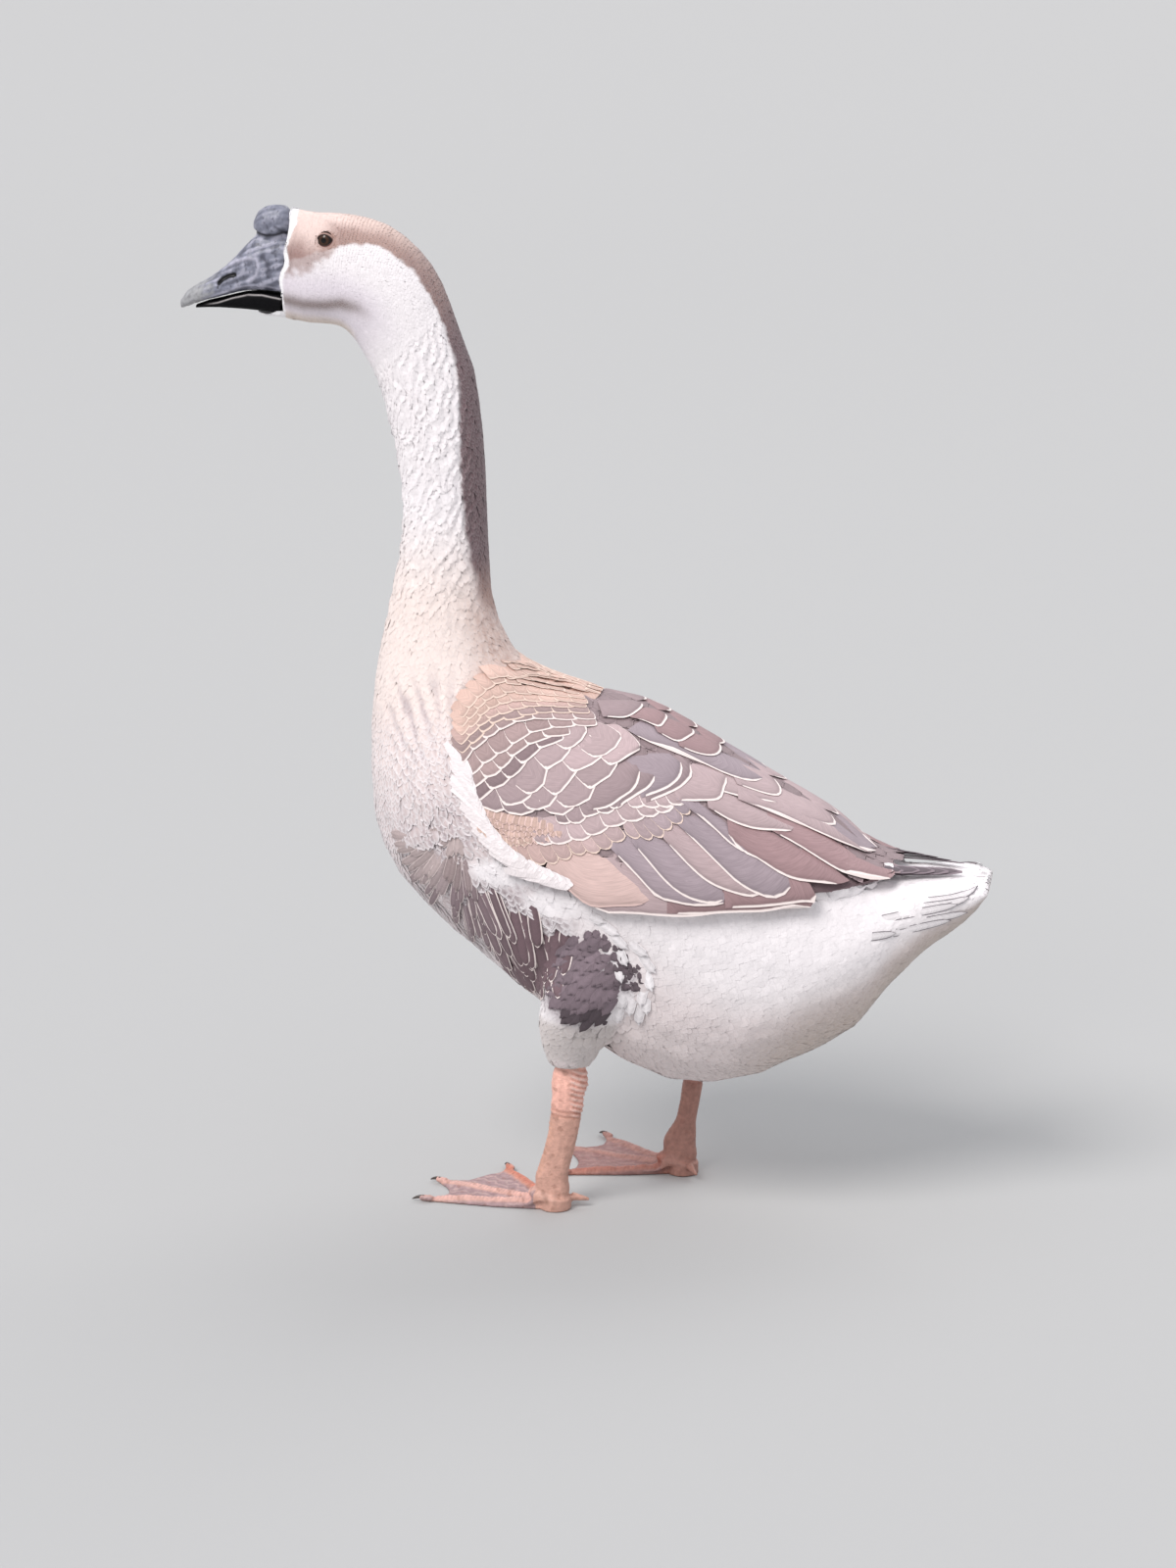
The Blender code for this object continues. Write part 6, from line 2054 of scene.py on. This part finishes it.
for side, letter in SIDES:
    ankle = ankle_on_floor(side)
    fillings = [(ankle + Vector(place), radii) for place, radii in ANKLE_SWELLS]
    # each toe ends in a rounded pad that holds the claw's root
    for toe in TOE_TURNS:
        spot, outward = claw_place(side, toe, letter)
        fillings += [(spot - outward * back + Vector((0, 0, PAD_HEIGHT)), (size, size, PAD_TALL))
                     for back, size in TOE_PADS]
    leg = fused("leg_" + letter, ("shank_" + letter, "foot_" + letter, "hind_toe_" + letter),
                0.00105 * COARSE, 6, swell=0.0002, fillings=fillings)
    points = mesh_points(leg.data)
    height = points[:, 2]
    lean = np.interp(height, (0.018, 0.126), (ankle.x, ankle.x + SHANK_LEAN))
    shank = smooth_step(0.030, 0.050, height) * smooth_step(0.100, 0.085, height)
    broader = 1 + (SHANK_BROADER[side] - 1) * shank
    points[:, 0] = np.where(height > 0.025, lean + (points[:, 0] - lean) * broader, points[:, 0])
    flare = smooth_step(0.052, 0.024, height) * smooth_step(0.006, 0.014, height)
    ahead = smooth_step(0.002, -0.008, points[:, 0] - lean) * (points[:, 0] > lean - 0.020)
    points[:, 0] -= FOOT_FLARE * flare * ahead
    set_points(leg.data, points)
    normals = vertex_normals(leg.data)
    colour, relief = leg_colour_and_relief(points, normals, side)
    shaped = points + normals * (relief * MM)[:, None]
    shaped[:, 2] = np.maximum(shaped[:, 2], 0.0)
    shaped[:, 2] = np.where(points[:, 2] > LEG_TOP, points[:, 2] + DRAWN_UP, shaped[:, 2])
    set_points(leg.data, shaped)
    paint_points(leg.data, "plumage", np.clip(colour, 0, 1))
    leg.data.materials.append(horn_material("leg_skin_" + letter, 0.55, 0.0014, 0.5, 0.05))
    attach(leg, "root")
    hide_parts("shank_" + letter, "foot_" + letter, "hind_toe_" + letter)


def claw_material():
    """Dark claw horn, its grain clouded brown."""
    material, add = new_material("claw_horn")
    shade = add("ValToRGB", Fac=add("TexNoise", Scale=500)["Fac"])["Color"]
    dark, pale = shade.node.color_ramp.elements
    dark.color = (0.030, 0.022, 0.020, 1)
    pale.color = (0.11, 0.085, 0.075, 1)
    add("Surface", Roughness=0.35, Base_Color=shade)
    return material


CLAW_HORN = claw_material()
CLAW_LENGTH, CLAW_ROOT = 0.0110, 0.0034


def claw_mesh(name, root, tip):
    """A short horn claw, deeper than wide, curving down to a blunt point from inside the toe's end."""
    claw = bmesh.new()
    run = Vector(tip) - Vector(root)
    flat = Vector((run.x, run.y, 0)).normalized()
    side = Vector((-flat.y, flat.x, 0))
    rings = []
    steps, around = 12, 16
    for step in range(steps + 1):
        share = step / steps
        centre = Vector(root) + run * share + Vector((0, 0, 0.0010 * math.sin(math.pi * share)))
        radius = CLAW_ROOT / 2 * math.sqrt(max(1 - share ** 1.7, 0.004))
        growth = 1 + 0.03 * math.sin(share * 40)
        ring = []
        for spoke in range(around):
            turn = 2 * math.pi * spoke / around
            shape = side * math.cos(turn) * radius * 0.82 + Vector((0, 0, 1)) * math.sin(turn) * radius
            spot = centre + shape * growth
            spot.z = max(spot.z, 0.0006)
            ring.append(claw.verts.new(spot))
        rings.append(ring)
    span_rings(claw, zip(rings[:-1], rings[1:]))
    claw.faces.new(rings[0][::-1])
    claw.faces.new(rings[-1])
    bmesh.ops.recalc_face_normals(claw, faces=claw.faces)
    mesh = mesh_from(claw, name)
    mesh.materials.append(CLAW_HORN)
    return linked(name, mesh)


for side, letter in SIDES:
    for toe in TOE_TURNS:
        node = "claw_" + toe + "_" + letter
        spot, outward = claw_place(side, toe, letter)
        tip = spot + outward * 0.0024 + Vector((0, 0, 0.0014))
        root = tip - outward * CLAW_LENGTH + Vector((0, 0, 0.0022))
        claw = claw_mesh("toe_" + node, root, tip)
        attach(claw, "root")
        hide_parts(node)


# ------------------------------------------------------------------------------------------- the stage
# A plain pale floor that curves up into a wall far away on every side, two broad soft lamps under an
# even sky, and the camera a little above the bird's back. None of it belongs to the bird.

FLOOR_DROP = 0.0004


def stage_material():
    """Plain matt grey, very slightly clouded."""
    material, add = new_material("studio_floor")
    grain = add("TexNoise", Scale=3)["Fac"]
    add("Surface", Roughness=0.9, Base_Color=add("MapRange", Value=grain, To_Min=0.44, To_Max=0.47)["Result"])
    return material


FLAT_REACH, WALL_REACH, WALL_HEIGHT = 5.0, 13.0, 5.5
rings, spokes = 28, 96
corners = [(0, 0, 0)]
faces = []
for ring in range(1, rings + 1):
    reach = WALL_REACH * ring / rings
    rise = WALL_HEIGHT * (max(reach - FLAT_REACH, 0) / (WALL_REACH - FLAT_REACH)) ** 2
    for spoke in range(spokes):
        turn = 2 * math.pi * spoke / spokes
        corners.append((reach * math.cos(turn), reach * math.sin(turn), rise))
        after = (spoke + 1) % spokes
        if ring == 1:
            faces.append((0, 1 + spoke, 1 + after))
        else:
            inner, outer = 1 + (ring - 2) * spokes, 1 + (ring - 1) * spokes
            faces.append((inner + spoke, outer + spoke, outer + after, inner + after))
floor_mesh = bpy.data.meshes.new("floor")
floor_mesh.from_pydata(corners, [], faces)
floor_mesh.shade_smooth()
floor = linked("floor", floor_mesh)
floor.location.z = -FLOOR_DROP
floor_mesh.materials.append(stage_material())


def soft_sun(name, towards, softness, strength, colour):
    """A very soft, even lamp. towards is the way its light travels."""
    lamp = bpy.data.lights.new(name, "SUN")
    lamp.angle = math.radians(softness)
    lamp.energy = strength
    lamp.color = colour
    stand = linked(name, lamp)
    stand.rotation_mode = "QUATERNION"
    stand.rotation_quaternion = Vector(towards).to_track_quat("-Z", "Y")


soft_sun("key", (0.45, 0.75, -1.0), 28, 2.15, (1.0, 0.975, 0.955))
soft_sun("rim", (-0.35, -0.8, -0.9), 40, 0.70, (1.0, 0.99, 0.98))
world = bpy.data.worlds.new("studio")
world.use_nodes = True
world.node_tree.nodes["Background"].inputs["Color"].default_value = (0.93, 0.95, 1.0, 1)
world.node_tree.nodes["Background"].inputs["Strength"].default_value = 0.80
bpy.context.scene.world = world
bpy.context.scene.view_settings.view_transform = "Standard"

# The camera stands this far round from the bird's left side and this far up, looking at AIM.
CAMERA_YAW, CAMERA_PITCH, CAMERA_REACH = math.radians(8), math.radians(15), 4.0
AIM = Vector((0.0, MID_Y, 0.3504))
LENS = 111.93
away = Vector((math.sin(CAMERA_YAW) * math.cos(CAMERA_PITCH), -math.cos(CAMERA_YAW) * math.cos(CAMERA_PITCH),
               math.sin(CAMERA_PITCH)))
camera_data = bpy.data.cameras.new("camera")
camera_data.lens = LENS
camera_data.sensor_width = 36
camera = linked("camera", camera_data)
camera.location = AIM + away * CAMERA_REACH
camera.rotation_mode = "QUATERNION"
camera.rotation_quaternion = (-away).to_track_quat("-Z", "Y")
bpy.context.scene.camera = camera
